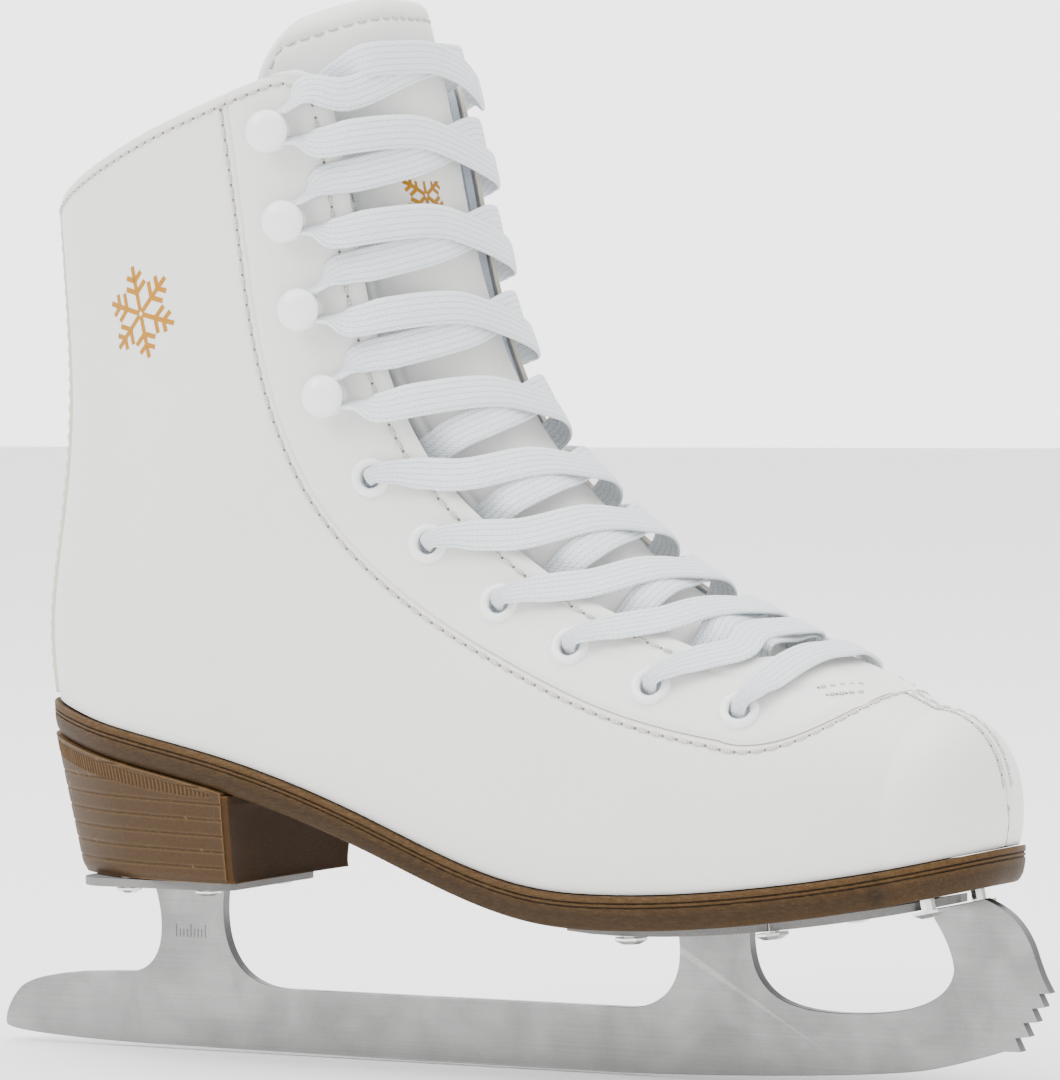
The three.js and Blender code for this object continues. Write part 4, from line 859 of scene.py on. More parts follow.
@dataclass(frozen=True)
class Enamel(Finish):
    """Baked white paint on stamped metal."""

    colour: str = "F0F1EF"
    roughness: float = 0.2

    def material(self) -> Material:
        """The material."""
        material, g, shader = new_material(self.name, Coat_Weight=0.5, Coat_Roughness=0.08)
        wear = g.group(EFFECTS.wear, Amount=0.25)
        peel = g.noise(420.0, 2.0)
        colour = g.mix(wear.outputs[0], linear(self.colour), linear("D9DAD6"))
        g.join(shader, Base_Color=colour, Roughness=g.ramp(peel, 0.2, 0.8, self.roughness, self.roughness + 0.15),
             Normal=bumped(g, ((peel, 0.15, 0.08),)))
        return material


@dataclass(frozen=True)
class MouldedSole(Finish):
    """Moulded sole material with a satin skin, lighter where it is rubbed."""

    colour: str = "42301C"
    shade: str = "332413"
    rubbed: str = "876842"
    roughness: float = 0.5
    shine: float = 0.16

    def material(self) -> Material:
        """The material."""
        material, g, shader = new_material(self.name)
        shader.inputs["Specular IOR Level"].default_value = self.shine
        noise = g.noise(120.0, 5.0, Roughness=0.65)
        speck = g.noise(1500.0, 3.0)
        wear = g.group(EFFECTS.wear, Amount=0.5)
        dust = g.group(EFFECTS.dust, Amount=0.4)
        colour = self.tinted(g, g.ramp(noise, 0.3, 0.7))
        colour = g.mix(wear.outputs[0], colour, linear(self.rubbed))
        colour = g.mix(dust.outputs[0], colour, linear("86704F"))
        rough = g.ramp(speck, 0.2, 0.8, self.roughness, self.roughness + 0.2)
        g.join(shader, Base_Color=colour, Roughness=rough,
             Normal=bumped(g, ((noise, 0.2, 0.2), (speck, 0.3, 0.05))))
        return material


@dataclass(frozen=True)
class Steel(Finish):
    """Steel, brushed along X or bright."""

    colour: str = "8E8E8D"
    shade: str = "6C6C6C"
    roughness: float = 0.3
    scratch_depth: float = 0.02
    cloudiness: float = 0.25
    metallic: float = 1.0

    def material(self) -> Material:
        """The material."""
        material, g, shader = new_material(self.name, Metallic=self.metallic, Anisotropic=0.4)
        brushed = g.group(EFFECTS.brushing, Fineness=1.0)
        wear = g.group(EFFECTS.wear, Amount=0.3)
        tone = g.plus(g.times(brushed.outputs["Tone"], 0.3),
                      g.times(brushed.outputs["Cloud"], self.cloudiness))
        colour = self.tinted(g, tone)
        colour = g.mix(wear.outputs[0], colour, linear("E4E4E2"))
        rough = g.plus(g.times(brushed.outputs["Cloud"], 0.16), self.roughness)
        g.join(shader, Base_Color=colour, Roughness=rough,
             Normal=bumped(g, ((brushed.outputs["Height"], 0.5, self.scratch_depth),)))
        return material


@dataclass(frozen=True)
class Foil(Finish):
    """Hot-stamped metallic foil on leather."""

    colour: str = "C48A2A"
    shade: str = "A36E1C"

    def material(self) -> Material:
        """The material."""
        material, g, shader = new_material(self.name, Metallic=0.75)
        grain = g.group(EFFECTS.grain, Scale=1.0)
        cloud = g.noise(160.0, 3.0)
        g.join(shader, Base_Color=self.tinted(g, g.ramp(cloud, 0.3, 0.7)),
             Roughness=g.ramp(cloud, 0.2, 0.8, 0.3, 0.45),
             Normal=bumped(g, ((grain.outputs["Height"], 0.4, 0.05),)))
        return material


@dataclass(frozen=True)
class Thread(Finish):
    """Sewing thread, twisted and a little glossy; its colour is greyer than white and darker between the plies as
    painted shade.
    """

    colour: str = "D9D6CF"
    shade: str = "AFABA2"

    def material(self) -> Material:
        """The material, darker between the plies as painted shade."""
        material, g, shader = new_material(self.name, Sheen_Weight=0.2)
        place = g.add("Attribute", {"attribute_name": "twist"}).outputs["Vector"]
        axes = g.add("SeparateXYZ", Vector=place)
        ply = g.math("SINE", g.plus(g.times(axes.outputs[1], 9.0), axes.outputs[0]))
        # Painted shade: the colour darkens towards the shade colour in the grooves between the plies.
        g.join(shader, Base_Color=g.mix(g.ramp(ply, -1.0, 1.0), linear(self.shade), linear(self.colour)),
             Roughness=g.ramp(ply, -1.0, 1.0, 0.7, 0.5), Normal=bumped(g, ((ply, 0.5, 0.06),)))
        return material


class Finishes:
    """Every material of the skate, by its place."""

    def __init__(self) -> None:
        """Makes the materials."""
        self.upper = Leather("white_leather").material()
        self.tongue = Leather("tongue_leather", crease_depth=0.9).material()
        self.trim = CutEdge("cut_edge").material()
        # The lining and footbed cloths are darker in their weave dips as painted shade.
        self.lining = Cloth("lining_cloth").material()
        self.footbed = Cloth("footbed_cloth", colour="D9D6CE", shade="BDB9AF", pitch=1.3).material()
        self.board = CutEdge("fibre_board", colour="A08B6E", shade="857155").material()
        # The lace's colour is darkened in its weave grooves as painted shade.
        self.lace = Braid("lace_braid_painted_shade").material()
        self.aglet = Enamel("aglet_film", roughness=0.25).material()
        self.enamel = Enamel("white_enamel").material()
        # Needle holes: a dark colour painted as the shade inside the holes.
        self.hole = CutEdge("painted_hole_shade", colour="7C7972", shade="5A5750").material()
        # The thread's grey tone and its darker plies are painted shade.
        self.thread = Thread("thread_with_painted_shade").material()
        self.foil = Foil("gold_foil").material()
        self.sole = MouldedSole("sole_brown").material()
        self.welt = MouldedSole("welt_brown", colour="271A0B", shade="1F1408", rubbed="6A4C26").material()
        self.breast = MouldedSole("breast_brown", colour="352313", shade="27190D", rubbed="6A4E30",
                                  roughness=0.6, shine=0.08).material()
        self.blade = Steel("brushed_blade").material()
        # The plates' very dark colour is partly dull steel and partly painted shade for the shadow under the heel and
        # sole.
        self.plate = Steel("plate_steel_painted_shade", colour="3E3B38", shade="2C2A28", roughness=0.6, metallic=0.25).material()
        self.edge_steel = Steel("edge_steel", colour="5A5A5A", shade="424242", roughness=0.36).material()
        self.nickel = Steel("bright_nickel", colour="E2E2E0", shade="C4C4C3", roughness=0.14,
                            scratch_depth=0.004, cloudiness=0.15).material()
        self.etched = Steel("etched_marks", colour="4A4A4A", shade="333333", roughness=0.55).material()


# ---- stitching
@dataclass
class Stitching:
    """Rows of stitches, gathered into one piece of thread and one of dark needle-hole marks whose dark colour is
    painted shade.
    """

    pitch: float = 3.6
    gap: float = 0.75
    radius: float = 0.42
    hole_radius: float = 0.36
    rings: int = 7
    segments: int = 8
    thread: MeshDraft = field(default_factory=MeshDraft)
    hole_shadows: MeshDraft = field(default_factory=MeshDraft)

    def row(self, points: Points, normals: Points, pitch: float | None = None) -> None:
        """Sews along a line.

        Args:
            points: The line on the surface.
            normals: Outward directions along it.
            pitch: Distance from hole to hole.
        """
        pitch = pitch or self.pitch
        joined = resampled(np.concatenate((points, normals), axis=1), 0.4)
        lengths = lengths_along(joined[:, :3])
        for i in range(int(lengths[-1] / pitch)):
            places = np.array((i * pitch, i * pitch + self.gap / 2, (i + 1) * pitch - self.gap / 2))
            hole, start, end = points_at(places, lengths, joined)
            self.stitch(start[:3], end[:3], unit((start + end)[3:]))
            self.hole(hole[:3], unit(hole[3:]))

    def stitch(self, start: Points, end: Points, normal: Points) -> None:
        """One stitch: a short arched strand from start to end."""
        along = end - start
        across = unit(np.cross(along, normal))
        ring_count, segments = self.rings, self.segments
        t = np.linspace(0, 1, ring_count)
        turns = np.linspace(0, 2 * math.pi, segments, endpoint=False)
        swell = np.sqrt(np.clip(1 - (2 * t - 1) ** 4, 0, 1)) * self.radius + 0.02
        arch = self.radius * (0.75 * np.sin(t * math.pi) ** 0.5 - 0.35)
        rings = np.array([
            start + along * t[i] + normal * arch[i]
            + swell[i] * (np.cos(turns)[:, None] * across + np.sin(turns)[:, None] * normal)
            for i in range(ring_count)])
        length = float(np.linalg.norm(along))
        twist = np.stack((np.tile(turns, (ring_count, 1)),
                          np.repeat(t[:, None] * length, segments, axis=1),
                          np.zeros((ring_count, segments))), axis=-1)
        self.thread.grid(rings, closed=True, twist=twist)
        caps = [tuple(range(segments))[::-1], tuple((ring_count - 1) * segments + k for k in range(segments))]
        base = self.thread.count - ring_count * segments
        self.thread.faces.extend(tuple(base + k for k in cap) for cap in caps)

    def hole(self, point: Points, normal: Points) -> None:
        """One needle hole: a small dimple whose dark colour is painted shade."""
        self.hole_shadows.lathe(((self.hole_radius, 0.0), (self.hole_radius * 0.9, 0.06), (0.0, 0.03)),
                         point, normal, self.segments)


# ---- upper
def keep_inside(layer: Points, side: int, above: float) -> None:
    """Holds a layer on its own side of the middle plane and above the feather line."""
    layer[..., 1] = side * np.maximum(side * layer[..., 1], 0.05)
    layer[..., 2] = np.maximum(layer[..., 2], FORM.feather_height(layer[..., 0]) + above)


@dataclass
class Upper:
    """The two quarters, the eyestay, the back stay and the collar, with their stitching."""

    finishes: Finishes
    stitching: Stitching
    thickness: float = 1.6
    eyestay_proud: float = 0.5
    eyestay_thickness: float = 1.5
    seam_gap: float = 0.12
    seam_inset: float = 2.1
    facing_inset: float = 4.6
    collar_inset: float = 2.4
    back_stay_width: float = 10.0
    back_stay_thickness: float = 1.3

    @staticmethod
    def heel_tuck(points: Points) -> Points:
        """How far the counter is drawn in just above the sole at the back."""
        height = np.maximum(points[..., 2] - FORM.feather_height(points[..., 0]), 0)
        return HEEL_TUCK * bump(height, 15.0) * FORM.counter_share(points[..., 0])

    def make_quarter(self, name: str, side: int) -> Piece:
        """One quarter from the eyestay's seam to the sole and from the collar to the toe."""
        form = FORM_SIDES[side]
        rows = np.concatenate((FORM.COLLAR_U + np.array((0, 0.008, 0.02, 0.035)),
                               np.linspace(FORM.COLLAR_U + 0.06, FORM.SEAM_TURN_U, 150),
                               np.linspace(FORM.SEAM_TURN_U, FORM.TOE_SECTION, 70)[1:],
                               FORM.TOE_SECTION + np.linspace(0, 1, 44)[1:] * 0.985))[:, None]
        spread = np.linspace(0, 1, 96)[None, :] ** 1.5
        start = FORM.seam_distance(rows) + self.seam_gap
        end = np.maximum(form.feather(rows), start + 0.3)
        distance = start + (end - start) * spread
        from_seam = distance - start
        sink = -0.45 * bump(from_seam, 0.7) - 0.28 * bump(from_seam - self.seam_inset, 0.75)
        below = (rows - FORM.COLLAR_U) * FORM.SECTION_SPACING
        sink = sink - 0.35 * bump(below, 0.7) - 0.2 * bump(below - self.collar_inset, 0.8)
        sink = sink - self.heel_tuck(form.place(rows, distance))
        outer = form.place(rows, distance, sink)
        inner = form.place(rows, distance, np.minimum(sink, 0.0) - self.thickness)
        for layer in (outer, inner):
            keep_inside(layer, side, -CLEARANCE)
        return MeshDraft().shell(outer, inner).make(f"upper_quarter_{name}", self.finishes.upper, bevel=0.25,
                                                    sharp=60, cut_material=self.finishes.trim)

    @staticmethod
    def eyestay_rows() -> list[tuple[int, float, float, float]]:
        """Rows across the U-shaped eyestay: side, inner place, outer place and outer distance."""
        inner = np.concatenate((np.linspace(FORM.COLLAR_U, 0.6, 22),
                                np.linspace(0.6, FORM.THROAT_START_U, 150)[1:]))
        share = (inner - FORM.COLLAR_U) / (FORM.THROAT_START_U - FORM.COLLAR_U)
        outer = FORM.COLLAR_U + share * (FORM.SEAM_TURN_U - FORM.COLLAR_U)
        rows = [(float(a), float(b), float(FORM.seam_distance(b))) for a, b in zip(inner, outer)]
        widest = float(FORM.seam_distance(FORM.SEAM_TURN_U))
        for angle in np.linspace(0, math.pi / 2, 44)[1:]:
            turn = min(math.sin(angle), 1.0)
            rows.append((FORM.THROAT_START_U + (FORM.THROAT_END_U - FORM.THROAT_START_U) * turn,
                         FORM.SEAM_TURN_U + (FORM.SEAM_END_U - FORM.SEAM_TURN_U) * turn,
                         widest * float(FORM.turn_share(turn))))
        return [(Side.LATERAL, *row) for row in rows] + [(Side.MEDIAL, *row) for row in rows[:-1][::-1]]

    def make_eyestay(self) -> Piece:
        """The U-shaped strip that carries eyelets and hooks, proud of the quarters with turned edges."""
        share = np.linspace(0, 1, 56)
        outer, inner = [], []
        for side, inner_u, outer_u, outer_d in self.eyestay_rows():
            form = FORM_SIDES[side]
            start = float(form.facing_edge(inner_u))
            u = inner_u + (outer_u - inner_u) * share
            d = start + (outer_d - start) * share
            surface = form.place(u, d)
            normal = form.outward(u, d)
            width = outer_d - start
            from_edge, from_seam = share * width, (1 - share) * width
            lift = self.eyestay_proud - 0.4 * bump(from_edge, 0.8) - 0.5 * bump(from_seam, 0.6)
            lift -= 0.3 * bump(from_edge - self.facing_inset, 0.8)
            lift += 0.2 * bump(from_edge - self.facing_inset / 2, 1.3)
            below = (u - FORM.COLLAR_U) * FORM.SECTION_SPACING
            lift = lift - 0.25 * bump(below - self.collar_inset, 0.8) - 0.35 * bump(below, 0.7)
            near = np.min([np.linalg.norm(surface - hole, axis=1) for hole in fastener_points(side)], axis=0)
            lift -= 4.0 * smooth_step((3.9 - near) / 0.9) + 0.18 * bump(near - 5.6, 1.2)
            outer.append(surface + normal * lift[:, None])
            inner.append(surface + normal * (np.minimum(lift, 0.0) - self.eyestay_thickness
                                             + self.eyestay_proud)[:, None])
        return MeshDraft().shell(np.array(outer), np.array(inner)).make(
            "upper_eyestay", self.finishes.upper, bevel=0.25, sharp=60, cut_material=self.finishes.trim)

    def make_back_stay(self) -> Piece:
        """The narrow strip over the back seam, with raw edges."""
        rows = np.linspace(FORM.COLLAR_U, 4.76, 120)
        base, top = CLEARANCE - 0.25, CLEARANCE + self.back_stay_thickness
        columns_out, columns_in = [], []
        for p in np.linspace(-1, 1, 21):
            form = FORM_SIDES[Side.LATERAL if p <= 0 else Side.MEDIAL]
            d = form.total(rows) - abs(p) * self.back_stay_width / 2
            tuck = self.heel_tuck(form.place(rows, d))
            height = top - 0.5 * abs(p) ** 3 - 0.22 * float(bump(abs(p) - 0.55, 0.12)) - tuck
            columns_out.append(form.place(rows, d, height))
            columns_in.append(form.place(rows, d, base - tuck))
        outer, inner = np.swapaxes(np.array(columns_out), 0, 1), np.swapaxes(np.array(columns_in), 0, 1)
        return MeshDraft().shell(outer, inner).make("back_stay_strip", self.finishes.upper, bevel=0.2, sharp=60,
                                                    cut_material=self.finishes.trim)

    def sew(self) -> None:
        """Sews the seam, the facings, the collar, the vamp, the toe seam and the back stay."""
        for side in SIDES.values():
            straight = np.linspace(0.2, FORM.SEAM_TURN_U, 90)
            angle = np.linspace(0, math.pi / 2, 40)[1:]
            widest = float(FORM.seam_distance(FORM.SEAM_TURN_U)) + self.seam_inset
            u = np.concatenate((straight, FORM.SEAM_TURN_U + 1.33 * np.sin(angle)))
            d = np.concatenate((FORM.seam_distance(straight) + self.seam_inset,
                                widest * FORM.turn_share(np.minimum(np.sin(angle), 1.0))))
            self.line(side, u, d, -0.02)
            form = FORM_SIDES[side]
            u = np.linspace(0.5, FORM.THROAT_START_U, 90)
            self.line(side, u, form.facing_edge(u) + self.facing_inset, self.eyestay_proud - 0.1)
            collar_u = FORM.COLLAR_U + self.collar_inset / FORM.SECTION_SPACING
            turn = np.linspace(0, math.pi / 2, 12)[1:-1]
            edge = float(form.facing_edge(0.5)) + self.facing_inset
            radius = 9.0
            corner_d = edge + radius * (1 - np.cos(turn))
            corner_u = collar_u + (radius - radius * np.sin(turn)) / FORM.SECTION_SPACING
            d = np.concatenate((corner_d, np.linspace(edge + radius, float(form.total(collar_u)) - 6.5, 60)))
            u = np.concatenate((corner_u, np.full(60, collar_u)))
            lift = np.where(d < FORM.seam_distance(u), self.eyestay_proud - 0.02, 0.03)
            self.line(side, u, d, lift, pitch=3.1)
            for start, end in ((9.42, 9.86), (9.6, 10.02)):
                u = np.linspace(start, end, 20)
                d = np.linspace(19.5, 8.5, 20) if start < 9.5 else np.linspace(20.5, 11.5, 20)
                self.line(side, u, d, self.eyestay_proud - 0.15, pitch=2.4)
            u = np.linspace(0.25, 4.65, 60)
            self.line(side, u, form.total(u) - 2.9, CLEARANCE + self.back_stay_thickness - 0.3)
        u = np.linspace(FORM.SEAM_END_U + 0.08, FORM.TOE_SECTION + 0.92, 60)
        d = np.minimum(1.9, FORM_SIDES[Side.LATERAL].feather(u) - 0.6)
        self.line(Side.LATERAL, u, d, -0.1)
        self.line(Side.MEDIAL, u, d, -0.1)

    def line(self, side: int, u: Points, distance: Points, lift: Points, pitch: float | None = None) -> None:
        """Sews one row along places and distances."""
        form = FORM_SIDES[side]
        lift = lift - self.heel_tuck(form.place(u, distance))
        self.stitching.row(form.place(u, distance, lift), form.outward(u, distance), pitch)

    def build(self) -> None:
        """Makes and places every piece of the upper."""
        pieces = [(self.make_quarter(name, side), f"quarter_{name}", "white_leather")
                  for name, side in SIDES.items()]
        pieces.append((self.make_eyestay(), "eyestay", "white_leather"))
        pieces.append((self.make_back_stay(), "back_stay", "trim"))
        for piece, node, slot in pieces:
            place_piece(piece, BOOT, slot, node)
        self.sew()
        LOG.info("upper of %d pieces", len(pieces))


@dataclass
class SnowCrystal:
    """A six-armed snow crystal of foil pressed on the leather."""

    finishes: Finishes
    side: int
    u: float
    distance: float
    radius: float
    lift: float
    per_u: float
    width: float = 1.0
    foil_depth: float = 0.2

    def bar(self, draft: MeshDraft, start: Points, end: Points, depth: Callable[[Points], Points]) -> None:
        """Adds one bar between two places in the crystal's own plane."""
        along = end - start
        across = np.array((-along[1], along[0])) / np.linalg.norm(along) * self.width / 2
        t = np.linspace(0, 1, 9)
        rails = [start + along * t[:, None] + across * k for k in (-1, -0.5, 0, 0.5, 1)]
        grid = np.stack(rails, axis=1)
        u = self.u - grid[..., 1] / self.per_u
        d = self.distance + grid[..., 0]
        own, other = FORM_SIDES[self.side], FORM_SIDES[-self.side]
        outer, inner = (np.where((d < 0)[..., None], other.place(u, np.abs(d), depth(d) + k),
                                 own.place(u, np.abs(d), depth(d) + k))
                        for k in (self.lift, self.lift - self.foil_depth))
        draft.shell(outer, inner)

    def make(self, name: str, depth: Callable[[Points], Points]) -> Piece:
        """The crystal at a depth that may change with the distance.

        Args:
            name: The piece's name.
            depth: Height of the leather over the form for each distance.

        Returns:
            The new object.
        """
        draft = MeshDraft()
        for k in range(6):
            angle = math.radians(60 * k + 30)
            ahead = np.array((math.cos(angle), math.sin(angle)))
            self.bar(draft, ahead * 0.6, ahead * self.radius, depth)
            for reach, size in ((0.45, 0.34), (0.7, 0.26)):
                for turn in (-60, 60):
                    tilt = angle + math.radians(turn)
                    root = ahead * self.radius * reach
                    tip = root + np.array((math.cos(tilt), math.sin(tilt))) * self.radius * size
                    self.bar(draft, root, tip, depth)
        return draft.make(name, self.finishes.foil, weld=False, sharp=60)


# ---- eyelets, hooks
EYELET_ROWS = (8.94, 8.04, 7.06, 6.08, 4.95, 3.93)
HOOK_ROWS = (2.95, 2.05, 1.22, 0.5)
EYELET_DISTANCES = (36.0, 41.5)
EYELET_INSET = 15.0
HOOK_INSET = 15.5


def fastener_rows(side: int) -> list[tuple[float, float, bool]]:
    """Place, distance and whether it is a hook, for each row from the throat up."""
    rows = []
    for i, u in enumerate(EYELET_ROWS):
        d = EYELET_DISTANCES[i] if i < len(EYELET_DISTANCES) else float(FORM_SIDES[side].edge(u)) + EYELET_INSET
        rows.append((u, d, False))
    rows.extend((u, float(FORM_SIDES[side].edge(u)) + HOOK_INSET, True) for u in HOOK_ROWS)
    return rows


def fastener_points(side: int) -> list[Points]:
    """Where the eyelets and hooks of one side sit on the form."""
    return [FORM_SIDES[side].place(u, d) for u, d, _ in fastener_rows(side)]


@dataclass
class Fasteners:
    """The eyelets and the hooks."""

    finishes: Finishes
    seat: float = 0.65
    bore: float = 2.5
    eyelet_radius: float = 4.8
    cap_radius: float = 5.1
    neck_height: float = 3.5

    def eyelet_profile(self) -> list[tuple[float, float]]:
        """Radius and height along a rolled eyelet, from inside the bore over the rim to its outer edge."""
        base = self.seat - 0.35
        middle = (self.bore + self.eyelet_radius) / 2
        half = (self.eyelet_radius - self.bore) / 2
        rim = [(middle - half * math.cos(a), base + 1.15 * math.sin(a) ** 0.8)
               for a in np.linspace(0.12, math.pi, 14)]
        return [(self.bore, -3.6), (self.bore, base)] + rim + [(self.eyelet_radius, base - 0.4)]

    def hook_profile(self) -> list[tuple[float, float]]:
        """Radius and height of a hook: base ring, neck and domed cap."""
        base = self.seat - 0.35
        cap = base + 0.8 + self.neck_height
        dome = [(self.cap_radius * math.cos(a), cap + 1.0 + 2.2 * math.sin(a)) for a in np.linspace(0, math.pi / 2, 14)]
        lip = [(self.cap_radius - 0.8, cap), (self.cap_radius - 0.2, cap + 0.1), (self.cap_radius, cap + 0.5)]
        foot = [(4.4, base - 0.3), (4.5, base + 0.3), (4.1, base + 0.7), (2.3, base + 0.85),
                (NECK_RADIUS, base + 1.3)]
        return foot + [(NECK_RADIUS, cap - 0.5), (2.4, cap)] + lip + dome

    def build(self) -> None:
        """Makes and places every eyelet and hook."""
        for name, side in SIDES.items():
            for i, (u, d, is_hook) in enumerate(fastener_rows(side)):
                node = f"hook_{name}_{i - len(EYELET_ROWS) + 1}" if is_hook else f"eyelet_{name}_{i + 1}"
                profile = self.hook_profile() if is_hook else self.eyelet_profile()
                draft = MeshDraft().lathe(profile, FORM_SIDES[side].place(u, d), FORM_SIDES[side].outward(u, d), 48)
                piece = draft.make(node + "_enamel", self.finishes.enamel, sharp=50)
                place_piece(piece, BOOT, "enamel", node)
        LOG.info("eyelets and hooks")


# ---- lace
@dataclass
class Station:
    """A place on the lace's route with the ribbon's direction across and its size there."""

    point: Points
    across: Points
    width: float
    thickness: float


@dataclass
class LaceRoute:
    """The threaded route of the lace from one end over the lowest bar to the other end."""

    width: float = 8.0
    thickness: float = 1.2
    bunch_width: float = 3.4
    bunch_thickness: float = 1.8
    rest: float = 1.7
    cross_low: float = 0.2
    cross_high: float = 2.1
    washer_depth: float = 5.2
    tuck_u: float = 0.16
    throat_u: float = 8.36
    flange_top: float = 1.35
    cap_base: float = 4.85

    def station(self, u: float, side: int, distance: float, height: float, width: float | None = None,
                thickness: float | None = None, stand: float = 0.0) -> Station:
        """A station over the form; stand turns the ribbon from lying flat (0) to standing up (1)."""
        angle = FORM_SIDES[side].angle(u, max(distance, 0.0))
        normal = FORM.normal(u, angle)
        along = unit(FORM.point(u + 0.05, angle) - FORM.point(u - 0.05, angle))
        across = unit(along * (1 - stand) + normal * stand)
        point = FORM.point(u, angle) + normal * height
        return Station(point, across, width or self.width, thickness or self.thickness)

    def through_eyelet(self, side: int, u: float, distance: float, from_u: float, to_u: float) -> list[Station]:
        """Over the facing, down through an eyelet and out from under the facing's edge."""
        lowest = u > FORM.THROAT_END_U
        edge = float(FORM_SIDES[side].edge(self.throat_u if lowest else u))
        arrive = lambda share: u + (from_u - u) * share
        leave = lambda share: u + (to_u - u) * share * (3 if lowest else 1)
        s, w, deep = self.station, self.width, self.washer_depth
        return [
            s(arrive(0.3), side, distance - 17 if lowest else edge - 4, self.rest + (0.9 if lowest else 0.3)),
            s(arrive(0.15), side, distance - 10 if lowest else edge + 3.5, self.rest + 0.7, w - 0.5),
            s(arrive(0.03), side, distance - 5.4, 3.0, w - 2.6, 1.5),
            s(u, side, distance - 1.4, 3.3, self.bunch_width + 0.3, 1.8),
            s(u, side, distance, 1.3, self.bunch_width, self.bunch_thickness),
            s(u, side, distance, -deep - 0.6, self.bunch_width, self.bunch_thickness),
            s(u, side, distance - 2.6, -deep - 1.9, self.bunch_width + 0.4, 1.5),
            s(leave(0.06), side, distance - 7, -deep - 1.9, w - 2, 1.2),
            s(leave(0.14), side, edge + 2, -deep - 1.5, w - 1),
            s(leave(0.19), side, edge - 3.5, -6 if lowest else -4),
            s(leave(0.25), side, edge - 8.5, -2 if lowest else -0.6),
        ]

    def around_hook(self, side: int, u: float, distance: float, lower: tuple[float, bool],
                    upper: tuple[float, bool]) -> list[Station]:
        """Around the back of a hook's neck, arriving from below and leaving upwards."""
        per_u = float(np.linalg.norm(FORM.point(u - 0.5, float(side)) - FORM.point(u + 0.5, float(side))))
        up = lambda mm: u - mm / per_u
        neck = (self.flange_top + self.cap_base) / 2
        ring = NECK_RADIUS + CLEARANCE + 0.9
        s, w = self.station, self.width
        tight = lambda mm, ahead: s(up(mm), side, distance + ahead, neck, 2.6, 1.6, 1.0)
        edge = float(FORM_SIDES[side].edge(u))
        level = lambda high: self.rest + (1.7 if high else 0.0)
        return [
            s(u + (lower[0] - u) * 0.3, side, edge - 3, level(lower[1])),
            s(up(-6.4), side, distance - 10.5, level(lower[1]) + 0.6, w - 0.6, 1.4, 0.2),
            s(up(-ring - 0.9), side, distance - 5.4, neck, 4.4, 1.5, 0.7),
            tight(-ring, -0.6), tight(-ring * 0.72, ring * 0.72), tight(0, ring),
            tight(ring * 0.72, ring * 0.72), tight(ring, -0.6),
            s(up(ring + 0.9), side, distance - 5.4, neck, 4.4, 1.5, 0.7),
            s(up(6.4), side, distance - 10.5, level(upper[1]) + 0.6, w - 0.6, 1.4, 0.2),
            s(u + (upper[0] - u) * 0.3, side, edge - 3, level(upper[1])),
        ]

    def crossing(self, row_a: float, row_b: float, side: int, high: bool) -> list[Station]:
        """Over the tongue between two rows."""
        height = self.cross_high if high else self.cross_low
        between = lambda t: row_a + (row_b - row_a) * t
        return [
            self.station(between(0.36), side, 13, (height + 1.6) / 2),
            self.station(between(0.5), Side.MEDIAL, 0, height),
            self.station(between(0.64), -side, 13, (height + 1.8) / 2),
        ]

    def climb(self, start_side: int) -> list[Station]:
        """One end's way up from the lowest bar to where it is tucked in."""
        rows = [r[0] for r in fastener_rows(Side.LATERAL)]
        last = len(rows) - 1
        high = lambda k: (k % 2 == 0) == (start_side > 0)
        route: list[Station] = []
        for row in range(last + 1):
            side = start_side if row % 2 == 0 else -start_side
            u, d, is_hook = fastener_rows(side)[row]
            below = rows[max(row - 1, 0)]
            above = self.tuck_u if row == last else rows[row + 1]
            if is_hook:
                route += self.around_hook(side, u, d, (below, high(row - 1)), (above, high(row)))
            else:
                route += self.through_eyelet(side, u, d, below, above)
            if row < last:
                route += self.crossing(min(rows[row], self.throat_u), rows[row + 1], side, high(row))
        end_side = -start_side if last % 2 == 0 else start_side
        edge = float(FORM_SIDES[end_side].edge(self.tuck_u))
        lift = 0.0 if start_side > 0 else 1.7
        t, s, w = self.tuck_u, self.station, self.width
        route += [
            s(t + 0.14, -end_side, 13, self.cross_low + 1.2 + lift * 0.6),
            s(t + 0.06, end_side, 0, self.cross_low + 0.5 + lift),
            s(t + 0.05, end_side, 12, self.cross_low + 0.9 + lift * 0.6),
            s(t + 0.04, end_side, edge - 9, 0.6 + lift * 0.6),
            s(t + 0.08, end_side, edge - 3.5, -4, w - 1),
            s(t + 0.14, end_side, edge + 2.5, -7, w - 2.5, 1.4),
            s(t + 0.22, end_side, edge + 7.2, -7.4, 3.4, 1.8),
            s(t + 0.34, end_side, edge + 7.6, -7.6, 2.8, 1.8),
        ]
        return route

    def stations(self) -> list[Station]:
        """Every station from one end to the other."""
        bar = {s: self.station(EYELET_ROWS[0], s, 10, self.rest + 0.9) for s in SIDES.values()}
        middle = self.station(EYELET_ROWS[0], Side.MEDIAL, 0, self.rest + 0.4)
        return self.climb(Side.LATERAL)[::-1] + [bar[Side.LATERAL], middle, bar[Side.MEDIAL]] + self.climb(Side.MEDIAL)


def mixed(t: float, a: Points, b: Points, start: float, end: float) -> Points:
    """Between a, at t = start, and b, at t = end."""
    return a * (end - t) / (end - start) + b * (t - start) / (end - start)


